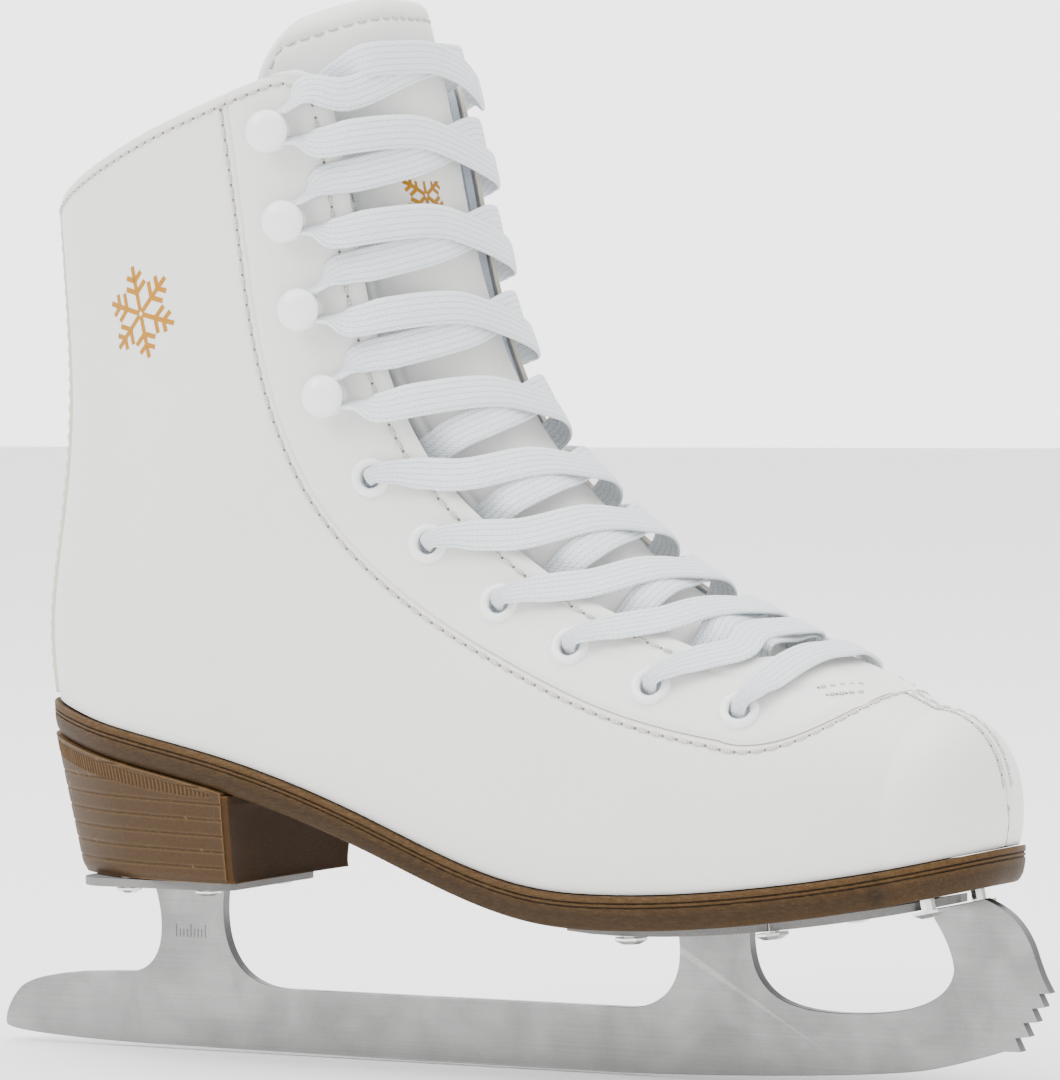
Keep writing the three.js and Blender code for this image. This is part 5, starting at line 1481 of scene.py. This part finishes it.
def rounded_path(points: Points, steps: int) -> tuple[Points, Points]:
    """A centripetal curve through points.

    Args:
        points: The points it goes through.
        steps: Steps from one point to the next.

    Returns:
        The curve's points, and for each the number of the span with the share along it.
    """
    ends = np.concatenate(([2 * points[0] - points[1]], points, [2 * points[-1] - points[-2]]))
    out, places = [], []
    for i in range(len(points) - 1):
        p = ends[i:i + 4]
        knots = np.concatenate(([0.0], np.cumsum(np.maximum(np.linalg.norm(np.diff(p, axis=0), axis=1), 1e-4) ** 0.5)))
        last = steps + 1 if i == len(points) - 2 else steps
        for k in range(last):
            share = k / steps
            t = knots[1] + (knots[2] - knots[1]) * share
            a1, a2, a3 = (mixed(t, p[j], p[j + 1], knots[j], knots[j + 1]) for j in range(3))
            b1, b2 = mixed(t, a1, a2, knots[0], knots[2]), mixed(t, a2, a3, knots[1], knots[3])
            out.append(mixed(t, b1, b2, knots[1], knots[2]))
            places.append(i + share)
    return np.array(out), np.array(places)


@dataclass
class Lace:
    """The flat lace as one woven ribbon with a film tip on each end."""

    finishes: Finishes
    route: LaceRoute = field(default_factory=LaceRoute)
    steps: int = 6
    across_count: int = 13

    def make_ribbon(self) -> Piece:
        """The ribbon with rounded edges, thicker in the middle."""
        stations = self.route.stations()
        points, places = rounded_path(np.array([s.point for s in stations]), self.steps)
        tangents = unit(np.gradient(points, axis=0))
        index = np.clip(np.floor(places).astype(int), 0, len(stations) - 2)
        share = smooth_step(places - index)
        pick = lambda get: np.array([get(stations[i]) * (1 - t) + get(stations[i + 1]) * t
                                     for i, t in zip(index, share)])
        across = pick(lambda s: s.across)
        for _ in range(2):
            across[1:-1] = (across[:-2] + across[1:-1] * 2 + across[2:]) / 4
        across = unit(across - tangents * np.sum(across * tangents, axis=1, keepdims=True))
        face = np.cross(tangents, across)
        width, thickness = pick(lambda s: np.array([s.width]))[:, 0], pick(lambda s: np.array([s.thickness]))[:, 0]
        lengths = lengths_along(points)
        turns = np.linspace(0, 2 * math.pi, 2 * self.across_count, endpoint=False)
        flat, tall = np.cos(turns), np.sin(turns)
        flat = np.sign(flat) * np.abs(flat) ** 0.75
        tall = np.sign(tall) * np.abs(tall) ** 0.6
        rings = (points[:, None, :] + across[:, None, :] * (width[:, None] / 2 * 1.04 * flat)[..., None]
                 + face[:, None, :] * (thickness[:, None] / 2 * 1.12 * tall)[..., None])
        sideways = np.broadcast_to(flat * 0.5 + 0.5, (len(points), len(turns)))
        onward = np.broadcast_to(lengths[:, None], sideways.shape)
        place = np.stack((sideways, onward, np.zeros_like(onward)), axis=-1)
        draft = MeshDraft().grid(rings, closed=True, ribbon=place)
        count = len(turns)
        draft.faces.append(tuple(range(count))[::-1])
        draft.faces.append(tuple((len(points) - 1) * count + k for k in range(count)))
        self.ends = [(points[0], -tangents[0]), (points[-1], tangents[-1])]
        return draft.make("lace_ribbon", self.finishes.lace, weld=False)

    def build(self) -> None:
        """Makes and places the ribbon and gives its tips their finish."""
        ribbon = self.make_ribbon()
        place_piece(ribbon, BOOT, "lace_yarn", "lace")
        for i in (1, 2):
            set_material(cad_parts[f"aglet_{i}"], self.finishes.aglet)
        LOG.info("lace of %d points", len(ribbon.data.vertices))


def set_material(node: Piece, material: Material, bevel: float = 0.0) -> None:
    """Gives a frame node a finish and, if wanted, rounded edges.

    Args:
        node: The node's object.
        material: Its finish.
        bevel: Width of the rounding in millimetres.
    """
    node.data.materials.clear()
    node.data.materials.append(material)
    if bevel:
        round_edges(node, bevel, 40)


# ---- tongue and lining
@dataclass
class Tongue:
    """The padded tongue: leather face, foam and cloth back in one soft form."""

    finishes: Finishes
    stitching: Stitching
    crest: float = 1.9
    tuck: float = 9.0
    thickness: float = 7.6
    top_u: float = -0.27
    base_u: float = 8.87
    top_flare: float = 21.0
    hollow: float = 1.6
    stitch_inset: float = 5.2
    rim_rounding: float = 4.2
    top_spacing: float = 32.0
    bend_end_u: float = 7.6
    half_widths: NaturalSpline = field(
        default_factory=lambda: NaturalSpline((34, 35, 35, 35, 35, 35, 34.5, 34, 31, 21)))

    def half_width(self, u: float) -> float:
        """Half width around the boot at u, flared above the hooks and rounded off at the top."""
        below = float(np.clip((u - self.top_u + 0.01) / 0.5, 0, 1))
        rounding = math.sqrt(1 - (1 - below) ** 2)
        flare = self.top_flare * float(smooth_step((1.1 - u) / 1.1))
        return (float(self.half_widths.at(max(u, 0))) + flare) * (0.5 + 0.5 * rounding)

    def face_depth(self, side: int, u: float, distance: Points) -> Points:
        """Depth of the tongue's face below the form."""
        form = FORM_SIDES[side]
        opened = smooth_step((form.edge(u) - 1 - distance) / 21)
        crest = self.crest + self.hollow * float(smooth_step((u - 0.3) / 1.2))
        wrinkle = 0.3 * math.sin(u * 11.0) * float(smooth_step((u - 4) / 2)) * bump(distance - 8, 9)
        return self.tuck + (crest - self.tuck) * opened + wrinkle

    def grids(self) -> tuple[Points, Points]:
        """Face and back grids of the tongue, drawn together towards its rim."""
        rows = np.concatenate((self.top_u + np.linspace(0, 0.7, 50) ** 1.5,
                               np.linspace(self.top_u + 0.7 ** 1.5, self.base_u, 130)[1:]))
        share = np.linspace(-1, 1, 91)
        face, back = [], []
        for u in rows:
            wide = self.half_width(float(u))
            d = np.abs(share) * wide
            rim = np.minimum((1 - np.abs(share)) * wide, (u - self.top_u) * self.top_spacing)
            swell = np.sqrt(1 - (1 - np.minimum(rim / self.rim_rounding, 1)) ** 2)
            half_thick = self.thickness / 2 * swell + 0.05
            groove = 0.5 * bump(rim - self.stitch_inset, 0.9)
            row_f, row_b = [], []
            for side in SIDES.values():
                keep = share <= 0 if side == Side.LATERAL else share > 0
                middle = self.face_depth(side, float(u), d[keep]) + self.thickness / 2
                row_f.append(FORM_SIDES[side].place(u, d[keep], -(middle - half_thick[keep] + groove[keep])))
                row_b.append(FORM_SIDES[side].place(u, d[keep], -(middle + half_thick[keep])))
            face.append(np.concatenate(row_f))
            back.append(np.concatenate(row_b))
        return np.array(face), np.array(back)

    def sew(self) -> Piece:
        """Sews a row a little inside the tongue's rim, across its top and down its upper sides."""
        top = self.top_u + self.stitch_inset / self.top_spacing
        for side in SIDES.values():
            rows = np.linspace(top, 1.6, 60)
            ends = np.array([self.half_width(float(u)) - self.stitch_inset for u in rows])
            u = np.concatenate((np.full(30, top), rows))
            d = np.concatenate((np.linspace(0, ends[0], 30), ends))
            depth = np.array([float(self.face_depth(side, float(a), np.array(b))) for a, b in zip(u, d)])
            form = FORM_SIDES[side]
            self.stitching.row(form.place(u, d, -depth - 0.3), form.outward(u, d))
        return self.stitching.thread.make("tongue_stitches", self.finishes.thread, weld=False)

    def build(self) -> None:
        """Makes the leather face and the cloth back over the foam."""
        face, back = self.grids()
        seam = face * 0.35 + back * 0.65
        cover = MeshDraft().shell(face, seam + (face - seam) * 0.02).make("tongue_leather", self.finishes.tongue)
        lining = MeshDraft().shell(seam, back).make("tongue_cloth", self.finishes.lining)
        start = metres(FORM_SIDES[Side.MEDIAL].place(self.base_u, 0.0))[0]
        end = metres(FORM_SIDES[Side.MEDIAL].place(self.bend_end_u, 0.0))[0]
        for piece, nodes in ((cover, ("tongue_cover", "tongue_foam")), (lining, ("tongue_lining",))):
            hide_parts(*nodes)
            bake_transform(piece)
        mark = SnowCrystal(self.finishes, Side.LATERAL, 1.25, 8.0, 8.5, 0.3, 30.0)
        motif = mark.make("tongue_motif", lambda d: -self.face_depth(Side.LATERAL, 1.3, np.abs(d)))
        for piece in (motif, self.sew()):
            place_piece(piece, TONGUE, "white_leather")
        LOG.info("tongue")


@dataclass
class BootInside:
    """The lining, from the facings' edges down to the sole."""

    finishes: Finishes
    facing_depth: float = 1.9
    inner_depth: float = 3.6
    collar_depth: float = 1.75
    thickness: float = 1.8
    padding: float = 1.6

    def depth(self, u: Points, distance: Points) -> Points:
        """Depth of the lining's outer face below the form."""
        inward = np.where(u < FORM.SEAM_TURN_U, smooth_step((distance - FORM.seam_distance(u) + 4) / 8), 0.0)
        inward = np.maximum(inward, smooth_step((u - 9.3) / 0.7))
        return self.facing_depth + (self.inner_depth - self.facing_depth) * inward

    def make_lining(self, name: str, side: int) -> Piece:
        """One side's lining from the facing's edge to the sole, swollen over the ankle padding."""
        form = FORM_SIDES[side]
        rows = np.concatenate((np.linspace(FORM.COLLAR_U, 0.4, 10), np.linspace(0.4, FORM.SEAM_TURN_U, 90)[1:],
                               np.linspace(FORM.SEAM_TURN_U, FORM.TOE_SECTION + 0.94, 40)[1:]))[:, None]
        share = np.linspace(0, 1, 60)[None, :]
        start = np.where(rows < FORM.THROAT_END_U, form.facing_edge(rows) + 0.3, 0.0)
        end = np.maximum(form.feather(rows), start + 0.3)
        distance = start + (end - start) * share ** 1.2
        base = self.depth(rows, distance)
        below = (rows - FORM.COLLAR_U) * FORM.SECTION_SPACING
        base = self.collar_depth + (base - self.collar_depth) * smooth_step(below / 8)
        rounded = 1.0 - np.sqrt(np.clip(1 - (1 - np.clip(below / 2.2, 0, 1)) ** 2, 0, 1))
        swell = self.padding * bump(below - 16, 14) * smooth_step((distance - start - 14) / 20)
        outer = form.place(rows, distance, -base)
        inner = form.place(rows, distance, -(base + 0.5 + (self.thickness - 0.5) * (1 - rounded) + swell))
        for layer in (outer, inner):
            keep_inside(layer, side, 0.05)
        return MeshDraft().shell(outer, inner).make(f"lining_cloth_{name}", self.finishes.lining, bevel=0.3, sharp=60)

    def build(self) -> None:
        """Makes and places the lining."""
        for name, side in SIDES.items():
            lining = self.make_lining(name, side)
            place_piece(lining, BOOT, "lining_fabric", f"lining_{name}", f"ankle_padding_{name}")
        LOG.info("lining")


# ---- sole, heel and blade
def feather_outline(side: int) -> Points:
    """The line where upper and sole meet on one side, from the heel to the toe, seen from above."""
    form = FORM_SIDES[side]
    u = np.linspace(4.6, 11.985, 420)
    line = form.place(u, form.feather(u))[form.feather(u) < form.total(u) - 0.02]
    line[:, 2] = 0.0
    return line


@dataclass
class Sole:
    """The moulded sole with its grooved welt, the stacked heel and its breast."""

    finishes: Finishes
    thickness: float = 8.2
    margin: float = 1.4
    heel_base: float = 43.6
    breast_x: float = -64.6
    taper: float = 0.87
    heel_inset: float = HEEL_TUCK
    heel_margin: float = 1.2
    heel_columns: int = 560
    heel_levels: int = 120
    groove_pitch: float = 3.9
    groove_depth: float = 0.3
    rib_pitch: float = 1.15
    welt_groove: float = 0.28

    def __post_init__(self) -> None:
        """Finds the outline."""
        self.lines = {side: feather_outline(side) for side in SIDES.values()}

    def top(self, x: Points) -> Points:
        """Height of the sole's top edge."""
        return FORM.feather_height(x) - CLEARANCE

    def bottom(self, x: Points) -> Points:
        """Height of the sole's underside."""
        return self.top(x) - self.thickness

    def outline(self, count: int, margin: float, keep_below_x: float | None = None) -> tuple[Points, Points]:
        """Points along both sides moved outwards by margin.

        Args:
            count: Steps along each side.
            margin: Distance outwards from the feather line.
            keep_below_x: Keep only what lies behind this x.

        Returns:
            The lateral and the medial line, each from the heel end to the toe end.
        """
        result = []
        for side in SIDES.values():
            line = self.lines[side]
            if keep_below_x is not None:
                line = line[line[:, 0] < keep_below_x]
            lengths = lengths_along(line)
            points = points_at(np.linspace(0, lengths[-1], count + 1), lengths, line)
            tangent = unit(np.gradient(points, axis=0))
            drawn = margin - self.heel_inset * FORM.counter_share(points[:, 0])
            moved = points.copy()
            moved[:, 0] = points[:, 0] - side * tangent[:, 1] * drawn
            moved[:, 1] = side * np.maximum(side * points[:, 1] + tangent[:, 0] * drawn, 0.4)
            result.append(moved)
        return result[0], result[1]

    def ring(self, margin: float, rise: float, count: int = 150) -> Points:
        """A closed ring around the sole at a margin and a height above its underside."""
        lateral, medial = self.outline(count, margin)
        ring = np.concatenate((lateral, medial[::-1]))
        ring[:, 2] = self.bottom(ring[:, 0]) + rise
        return ring

    def make_sole(self) -> Piece:
        """The sole from its underside over the wall with two fine grooves to the welt's top."""
        full, top = self.margin, self.thickness
        groove = full - self.welt_groove
        profile = ((-9.0, 0.5), (-0.9, 0.0), (-0.2, 0.25), (0.35, 0.9), (full - 0.5, 1.9), (full - 0.15, 3.4),
                   (full, 4.6), (full, 5.25), (groove, 5.4), (groove, 5.6), (full + 0.05, 5.75),
                   (full + 0.05, 6.25), (groove, 6.4), (groove, 6.6), (full + 0.1, 6.75), (full + 0.1, 7.9),
                   (full - 0.15, top), (-0.4, top), (-5.0, top))
        rings = np.array([self.ring(margin, rise) for margin, rise in profile])
        count = rings.shape[1]
        draft = MeshDraft().grid(rings, closed=True)
        draft.fold(0, count).fold((len(rings) - 1) * count, count, flip=True)
        return draft.make("sole_moulding", self.finishes.welt, sharp=55)

    def heel_wall(self) -> tuple[Points, Points]:
        """Top and bottom rings of the heel, open at the breast."""
        lateral, medial = self.outline(70, self.heel_margin, keep_below_x=self.breast_x + 1)
        top = np.concatenate((lateral[::-1], medial))
        base = np.stack((self.breast_x + (top[:, 0] - top[0, 0]) * self.taper, top[:, 1] * self.taper,
                         np.full(len(top), self.heel_base)), axis=1)
        top[:, 2] = self.bottom(top[:, 0]) - 0.05
        return top, base

    def make_heel(self) -> Piece:
        """The heel with its groove lines, the ribbed band under the welt and a worn lower edge."""
        top, base = self.heel_wall()
        fine = self.heel_columns
        lengths = lengths_along(base)
        places = np.linspace(0, lengths[-1], fine)
        top, base = points_at(places, lengths, top), points_at(places, lengths, base)
        outward = unit(np.cross(np.gradient(base, axis=0), np.array((0.0, 0.0, 1.0))))
        if np.sum(outward[:, 1] * base[:, 1]) < 0:
            outward = -outward
        levels = self.heel_levels
        around = np.abs(places / lengths[-1] - 0.5) * 2
        rows = []
        for t in np.linspace(0, 1, levels):
            height = base[:, 2] + (top[:, 2] - base[:, 2]) * t
            line = base + (top - base) * t
            rise = height - self.heel_base - 2.4 * (1 - around) * t
            groove = np.zeros(fine)
            for level in np.arange(self.groove_pitch, 30.0, self.groove_pitch):
                groove -= self.groove_depth * bump(rise - level, 0.22)
            from_top = top[:, 2] - height
            lens_top = 0.9
            lens_low = lens_top + 4.2 * np.clip(1 - ((around - 0.35) / 0.62) ** 2, 0, 1) ** 0.5
            inside = smooth_step((from_top - lens_top) / 0.4) * smooth_step((lens_low - from_top) / 0.4)
            ribs = 0.22 * np.sin(places * 2 * math.pi / self.rib_pitch) - 0.18
            bottom_round = -0.7 * bump(np.full(fine, t * (top[0, 2] - base[0, 2])), 0.9)
            offset = groove * (1 - inside) + ribs * inside + bottom_round
            rows.append(line + outward * offset[:, None])
        draft = MeshDraft().grid(np.array(rows))
        draft.fold(0, fine, flip=True).fold((levels - 1) * fine, fine)
        for i in range(levels - 1):
            a, c = i * fine, (i + 1) * fine
            draft.faces.append((a, a + fine - 1, c + fine - 1, c))
        return draft.make("heel_stack", self.finishes.sole, sharp=70)

    def make_breast(self) -> Piece:
        """The dark hollowed front face of the heel with a lighter lip at its lower edge."""
        top, base = self.heel_wall()
        half_top, half_base = abs(top[0, 1]) - 0.4, abs(base[0, 1]) - 0.4
        x_top, x_base = top[0, 0], base[0, 0]
        rows_out, rows_in = [], []
        for t in np.linspace(0, 1, 40):
            half = half_base + (half_top - half_base) * t
            x = x_base + (x_top - x_base) * t
            z_top = float(self.bottom(x_top + 3)) - 0.1
            z = self.heel_base + 0.1 + (z_top - self.heel_base) * t
            y = np.linspace(-half, half, 48)
            hollow = 1.5 * (1 - (np.abs(y) / half) ** 6) * math.sin(min(t * 1.15 + 0.02, 1.0) * math.pi) ** 0.4
            front = np.stack((x + 1.9 - hollow + 0.7 * math.exp(-t * 18), y, np.full(48, z)), axis=-1)
            rear = front.copy()
            rear[:, 0] = x - 0.3
            rows_out.append(front)
            rows_in.append(rear)
        draft = MeshDraft().shell(np.array(rows_out), np.array(rows_in))
        return draft.make("heel_breast_face", self.finishes.breast, bevel=0.3, sharp=60)

    def build(self) -> None:
        """Makes and places the sole, the heel and the breast."""
        for piece, node, slot in ((self.make_sole(), "sole_unit", "sole_brown"),
                                  (self.make_heel(), "heel_block", "sole_brown"),
                                  (self.make_breast(), "heel_breast", "breast_brown")):
            place_piece(piece, BOOT, slot, node)
        LOG.info("sole and heel")


@dataclass
class BladeSet:
    """The runner with its toe picks, the two plates and the screws."""

    finishes: Finishes
    sole: Sole
    blade_thickness: float = 2.9
    plate_thickness: float = 2.0
    scale_start: tuple[float, float] = (-95.5, 27.5)
    scale_step: float = 1.05

    def plate_bottom(self, x: float) -> float:
        """Underside of the sole plate at x."""
        return float(self.sole.bottom(x)) - CLEARANCE - self.plate_thickness

    def outline(self) -> Points:
        """The runner's outline seen from the side, once around."""
        seat = lambda x: self.plate_bottom(x) - CLEARANCE
        heel_seat = self.sole.heel_base - 2 * CLEARANCE - self.plate_thickness
        points: list[tuple[float, float]] = [(-30.0, 0.0), (30.0, 0.0)]

        def curve(*xz: float) -> None:
            """Adds a curve with two controls and an end."""
            p = np.array([points[-1], xz[0:2], xz[2:4], xz[4:6]], float)
            for t in np.linspace(0, 1, 29)[1:]:
                s = 1 - t
                points.append(tuple(p[0] * s ** 3 + p[1] * 3 * s * s * t + p[2] * 3 * s * t * t + p[3] * t ** 3))

        curve(60, 0.5, 95, 2.2, 109.5, 4.4)
        curve(117, 5.8, 124, 8, 130, 9.9)
        for pick in ((134.5, 10, 133, 13.1), (136.7, 13.6, 135.1, 16.7), (138.8, 17.1, 137.3, 20.1),
                     (140.6, 20.6, 139.1, 23.6)):
            points.extend((pick[:2], pick[2:]))
        points.append((142, 23.8))
        curve(140, 27, 139.4, 28.6, 138.2, 31.9)
        curve(136.5, 37.5, 133, 42.5, 125.5, seat(125.5) + 0.1)
        points.extend(((125, seat(125)), (118, seat(118)), (111.2, seat(111.2))))
        curve(112.8, 39.5, 117, 34, 117.5, 28.2)
        curve(116.5, 19.5, 103, 16.9, 88, 16.9)
        curve(74, 17, 64, 20, 64.6, seat(64.6))
        points.append((45.3, seat(45.3)))
        curve(47.5, 22.5, 42, 15.7, 31, 15.7)
        points.append((-63.6, 15.7))
        curve(-74, 15.7, -84, 22, -81, heel_seat)
        points.append((-102, heel_seat))
        curve(-98.5, 32, -98, 18.4, -110, 18.2)
        curve(-122, 17.9, -137, 17, -142, 13)
        curve(-145.6, 9.6, -147.2, 5, -146.4, 3.4)
        curve(-145, 1.5, -120, 0.6, -100, 0.4)
        return np.array(points)

    def make_runner(self) -> Piece:
        """The runner as one plate with broken edges."""
        outline = self.outline()
        count = len(outline)
        half = self.blade_thickness / 2
        near = np.stack((outline[:, 0], np.full(count, -half), outline[:, 1]), axis=1)
        far = near.copy()
        far[:, 1] = half
        faces = [tuple(range(count)), tuple(range(2 * count - 1, count - 1, -1))]
        faces += [(i, i + count, (i + 1) % count + count, (i + 1) % count) for i in range(count)]
        draft = MeshDraft().add(np.concatenate((near, far)), faces)
        draft.cut = set(range(2, len(faces)))
        return draft.make("runner_steel", self.finishes.blade, bevel=0.18, sharp=30,
                          cut_material=self.finishes.edge_steel)

    def make_marks(self) -> Piece:
        """A short scale of etched lines on the rear stanchion."""
        draft = MeshDraft()
        for i in range(9):
            tall = 3.2 if i % 4 == 0 else 2.0
            x, z = self.scale_start[0] + i * self.scale_step, self.scale_start[1]
            y = -self.blade_thickness / 2 - 0.03
            corners = [(x, y, z), (x + 0.32, y, z), (x + 0.32, y, z + tall), (x, y, z + tall)]
            back = [(a, b + 0.1, c) for a, b, c in corners]
            draft.add(np.array(corners + back), [(0, 1, 2, 3), (7, 6, 5, 4), (0, 4, 5, 1), (1, 5, 6, 2),
                                                 (2, 6, 7, 3), (3, 7, 4, 0)])
        return draft.make("etched_scale", self.finishes.etched, sharp=30)

    def build(self) -> None:
        """Makes the runner and its marks and dresses the plates and screws."""
        place_piece(self.make_runner(), BOOT, "blade_steel", "blade_runner")
        place_piece(self.make_marks(), BOOT, "blade_steel")
        for name in ("sole_plate", "heel_plate"):
            # The plates' dark finish is partly painted shade for the shadow under the heel and sole.
            set_material(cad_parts[name], self.finishes.plate, bevel=0.3)
        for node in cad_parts.values():
            if node.name.startswith(("heel_screw", "sole_screw")):
                set_material(node, self.finishes.nickel, bevel=0.35)
        LOG.info("blade set")


# ---- studio
@dataclass
class Studio:
    """The pale floor, the soft lights and the camera."""

    azimuth: float = 29.5
    elevation: float = 2.09
    roll: float = 0.6
    distance: float = 1.495
    target: tuple[float, float, float] = (5.5, 0.0, 126.5)
    lens: float = 208.3
    sensor: float = 36.0
    room_light: float = 1.0
    backdrop_light: float = 3.6
    sky_light: float = 3.6
    floor_reach: float = 6.0
    floor_gap: float = 0.0006

    def camera(self) -> None:
        """Places the camera at the viewing angle."""
        a, e, k = (math.radians(v) for v in (self.azimuth, self.elevation, self.roll))
        back = Vector((math.sin(a) * math.cos(e), -math.cos(a) * math.cos(e), math.sin(e)))
        level = Vector((math.cos(a), math.sin(a), 0.0))
        upright = back.cross(level)
        right = level * math.cos(k) - upright * math.sin(k)
        up = upright * math.cos(k) + level * math.sin(k)
        target = Vector(metres(np.array(self.target))[0])
        data = bpy.data.cameras.new("camera")
        data.lens = self.lens
        data.sensor_width = data.sensor_height = self.sensor
        data.sensor_fit = "VERTICAL"
        data.clip_end = 20.0
        camera = bpy.data.objects.new("camera", data)
        turn = Matrix((right, up, back)).transposed()
        camera.matrix_world = Matrix.Translation(target + back * self.distance) @ turn.to_4x4()
        bpy.context.scene.collection.objects.link(camera)
        bpy.context.scene.camera = camera

    @staticmethod
    def light(name: str, place: Sequence[float], aim_height: float, size: float, power: float) -> None:
        """A large soft light.

        Args:
            name: Its name.
            place: Where it stands, in metres.
            aim_height: Height above the origin that it looks at.
            size: Its side.
            power: Its watts.
        """
        data = bpy.data.lights.new(name, "AREA")
        data.shape = "SQUARE"
        data.size = size
        data.energy = power
        lamp = bpy.data.objects.new(name, data)
        lamp.location = place
        direction = Vector((0, 0, aim_height)) - Vector(place)
        lamp.rotation_euler = direction.to_track_quat("-Z", "Y").to_euler()
        bpy.context.scene.collection.objects.link(lamp)

    def build(self) -> None:
        """Sets the whole studio."""
        self.camera()
        material, _, shader = new_material("studio_paper")
        shader.inputs["Base Color"].default_value = (0.95, 0.95, 0.95, 1.0)
        shader.inputs["Roughness"].default_value = 0.9
        mesh = bpy.data.meshes.new("floor")
        far, low = self.floor_reach, -self.floor_gap
        mesh.from_pydata([(-far, -far, low), (far, -far, low), (far, far, low), (-far, far, low)], [], [(0, 1, 2, 3)])
        mesh.materials.append(material)
        floor = bpy.data.objects.new("floor", mesh)
        bpy.context.scene.collection.objects.link(floor)
        world = bpy.data.worlds.new("studio")
        world.use_nodes = True
        g = Graph(world.node_tree)
        a, e = math.radians(self.azimuth), math.radians(self.elevation)
        behind = (-math.sin(a) * math.cos(e), math.cos(a) * math.cos(e), -math.sin(e))
        facing = g.add("VectorMath", {"operation": "DOT_PRODUCT"}, i0=g.add("TexCoord").outputs["Generated"],
                       i1=behind).outputs["Value"]
        backdrop = world.node_tree.nodes["Background"]
        backdrop.inputs["Color"].default_value = (1.0, 1.0, 1.0, 1.0)
        g.tree.links.new(g.ramp(facing, 0.55, 0.9, self.room_light, self.backdrop_light),
                         backdrop.inputs["Strength"])
        bpy.context.scene.world = world
        sky = bpy.data.lights.new("sky", "SUN")
        sky.energy, sky.angle = self.sky_light, math.radians(100)
        bpy.context.scene.collection.objects.link(bpy.data.objects.new("sky", sky))
        self.light("key", (-1.0, -1.5, 1.6), 0.12, 1.1, 42)
        self.light("fill", (1.8, -1.2, 0.7), 0.12, 1.2, 10)
        self.light("top", (0.2, 0.2, 2.2), 0.1, 1.4, 30)
        LOG.info("studio")


def dress_hidden(finishes: Finishes) -> None:
    """Gives the frame's inner pieces their finishes."""
    for name in ("heel_counter", "toe_puff", "insole_board"):
        set_material(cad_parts[name], finishes.board)
    set_material(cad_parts["steel_shank"], finishes.plate)
    set_material(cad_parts["footbed"], finishes.footbed)


def main() -> None:
    logging.basicConfig(level=logging.INFO, format="%(message)s")
    finishes = Finishes()
    stitching = Stitching()
    Upper(finishes, stitching).build()
    cuff = SnowCrystal(finishes, Side.LATERAL, 1.5, 96.0, 12.5, 0.08, 28.0, width=1.3)
    motif = cuff.make("cuff_motif", lambda d: np.zeros_like(d))
    place_piece(motif, BOOT, "white_leather")
    BootInside(finishes).build()
    Tongue(finishes, Stitching()).build()
    Fasteners(finishes).build()
    Lace(finishes).build()
    sole = Sole(finishes)
    sole.build()
    BladeSet(finishes, sole).build()
    thread = stitching.thread.make("stitch_thread", finishes.thread, weld=False)
    # The dark needle-hole marks are painted shade.
    hole_shadows = stitching.hole_shadows.make("painted_hole_shadows", finishes.hole, weld=False)
    for piece in (thread, hole_shadows):
        place_piece(piece, BOOT, "white_leather")
    dress_hidden(finishes)
    Studio().build()


if __name__ == "__main__":
    main()
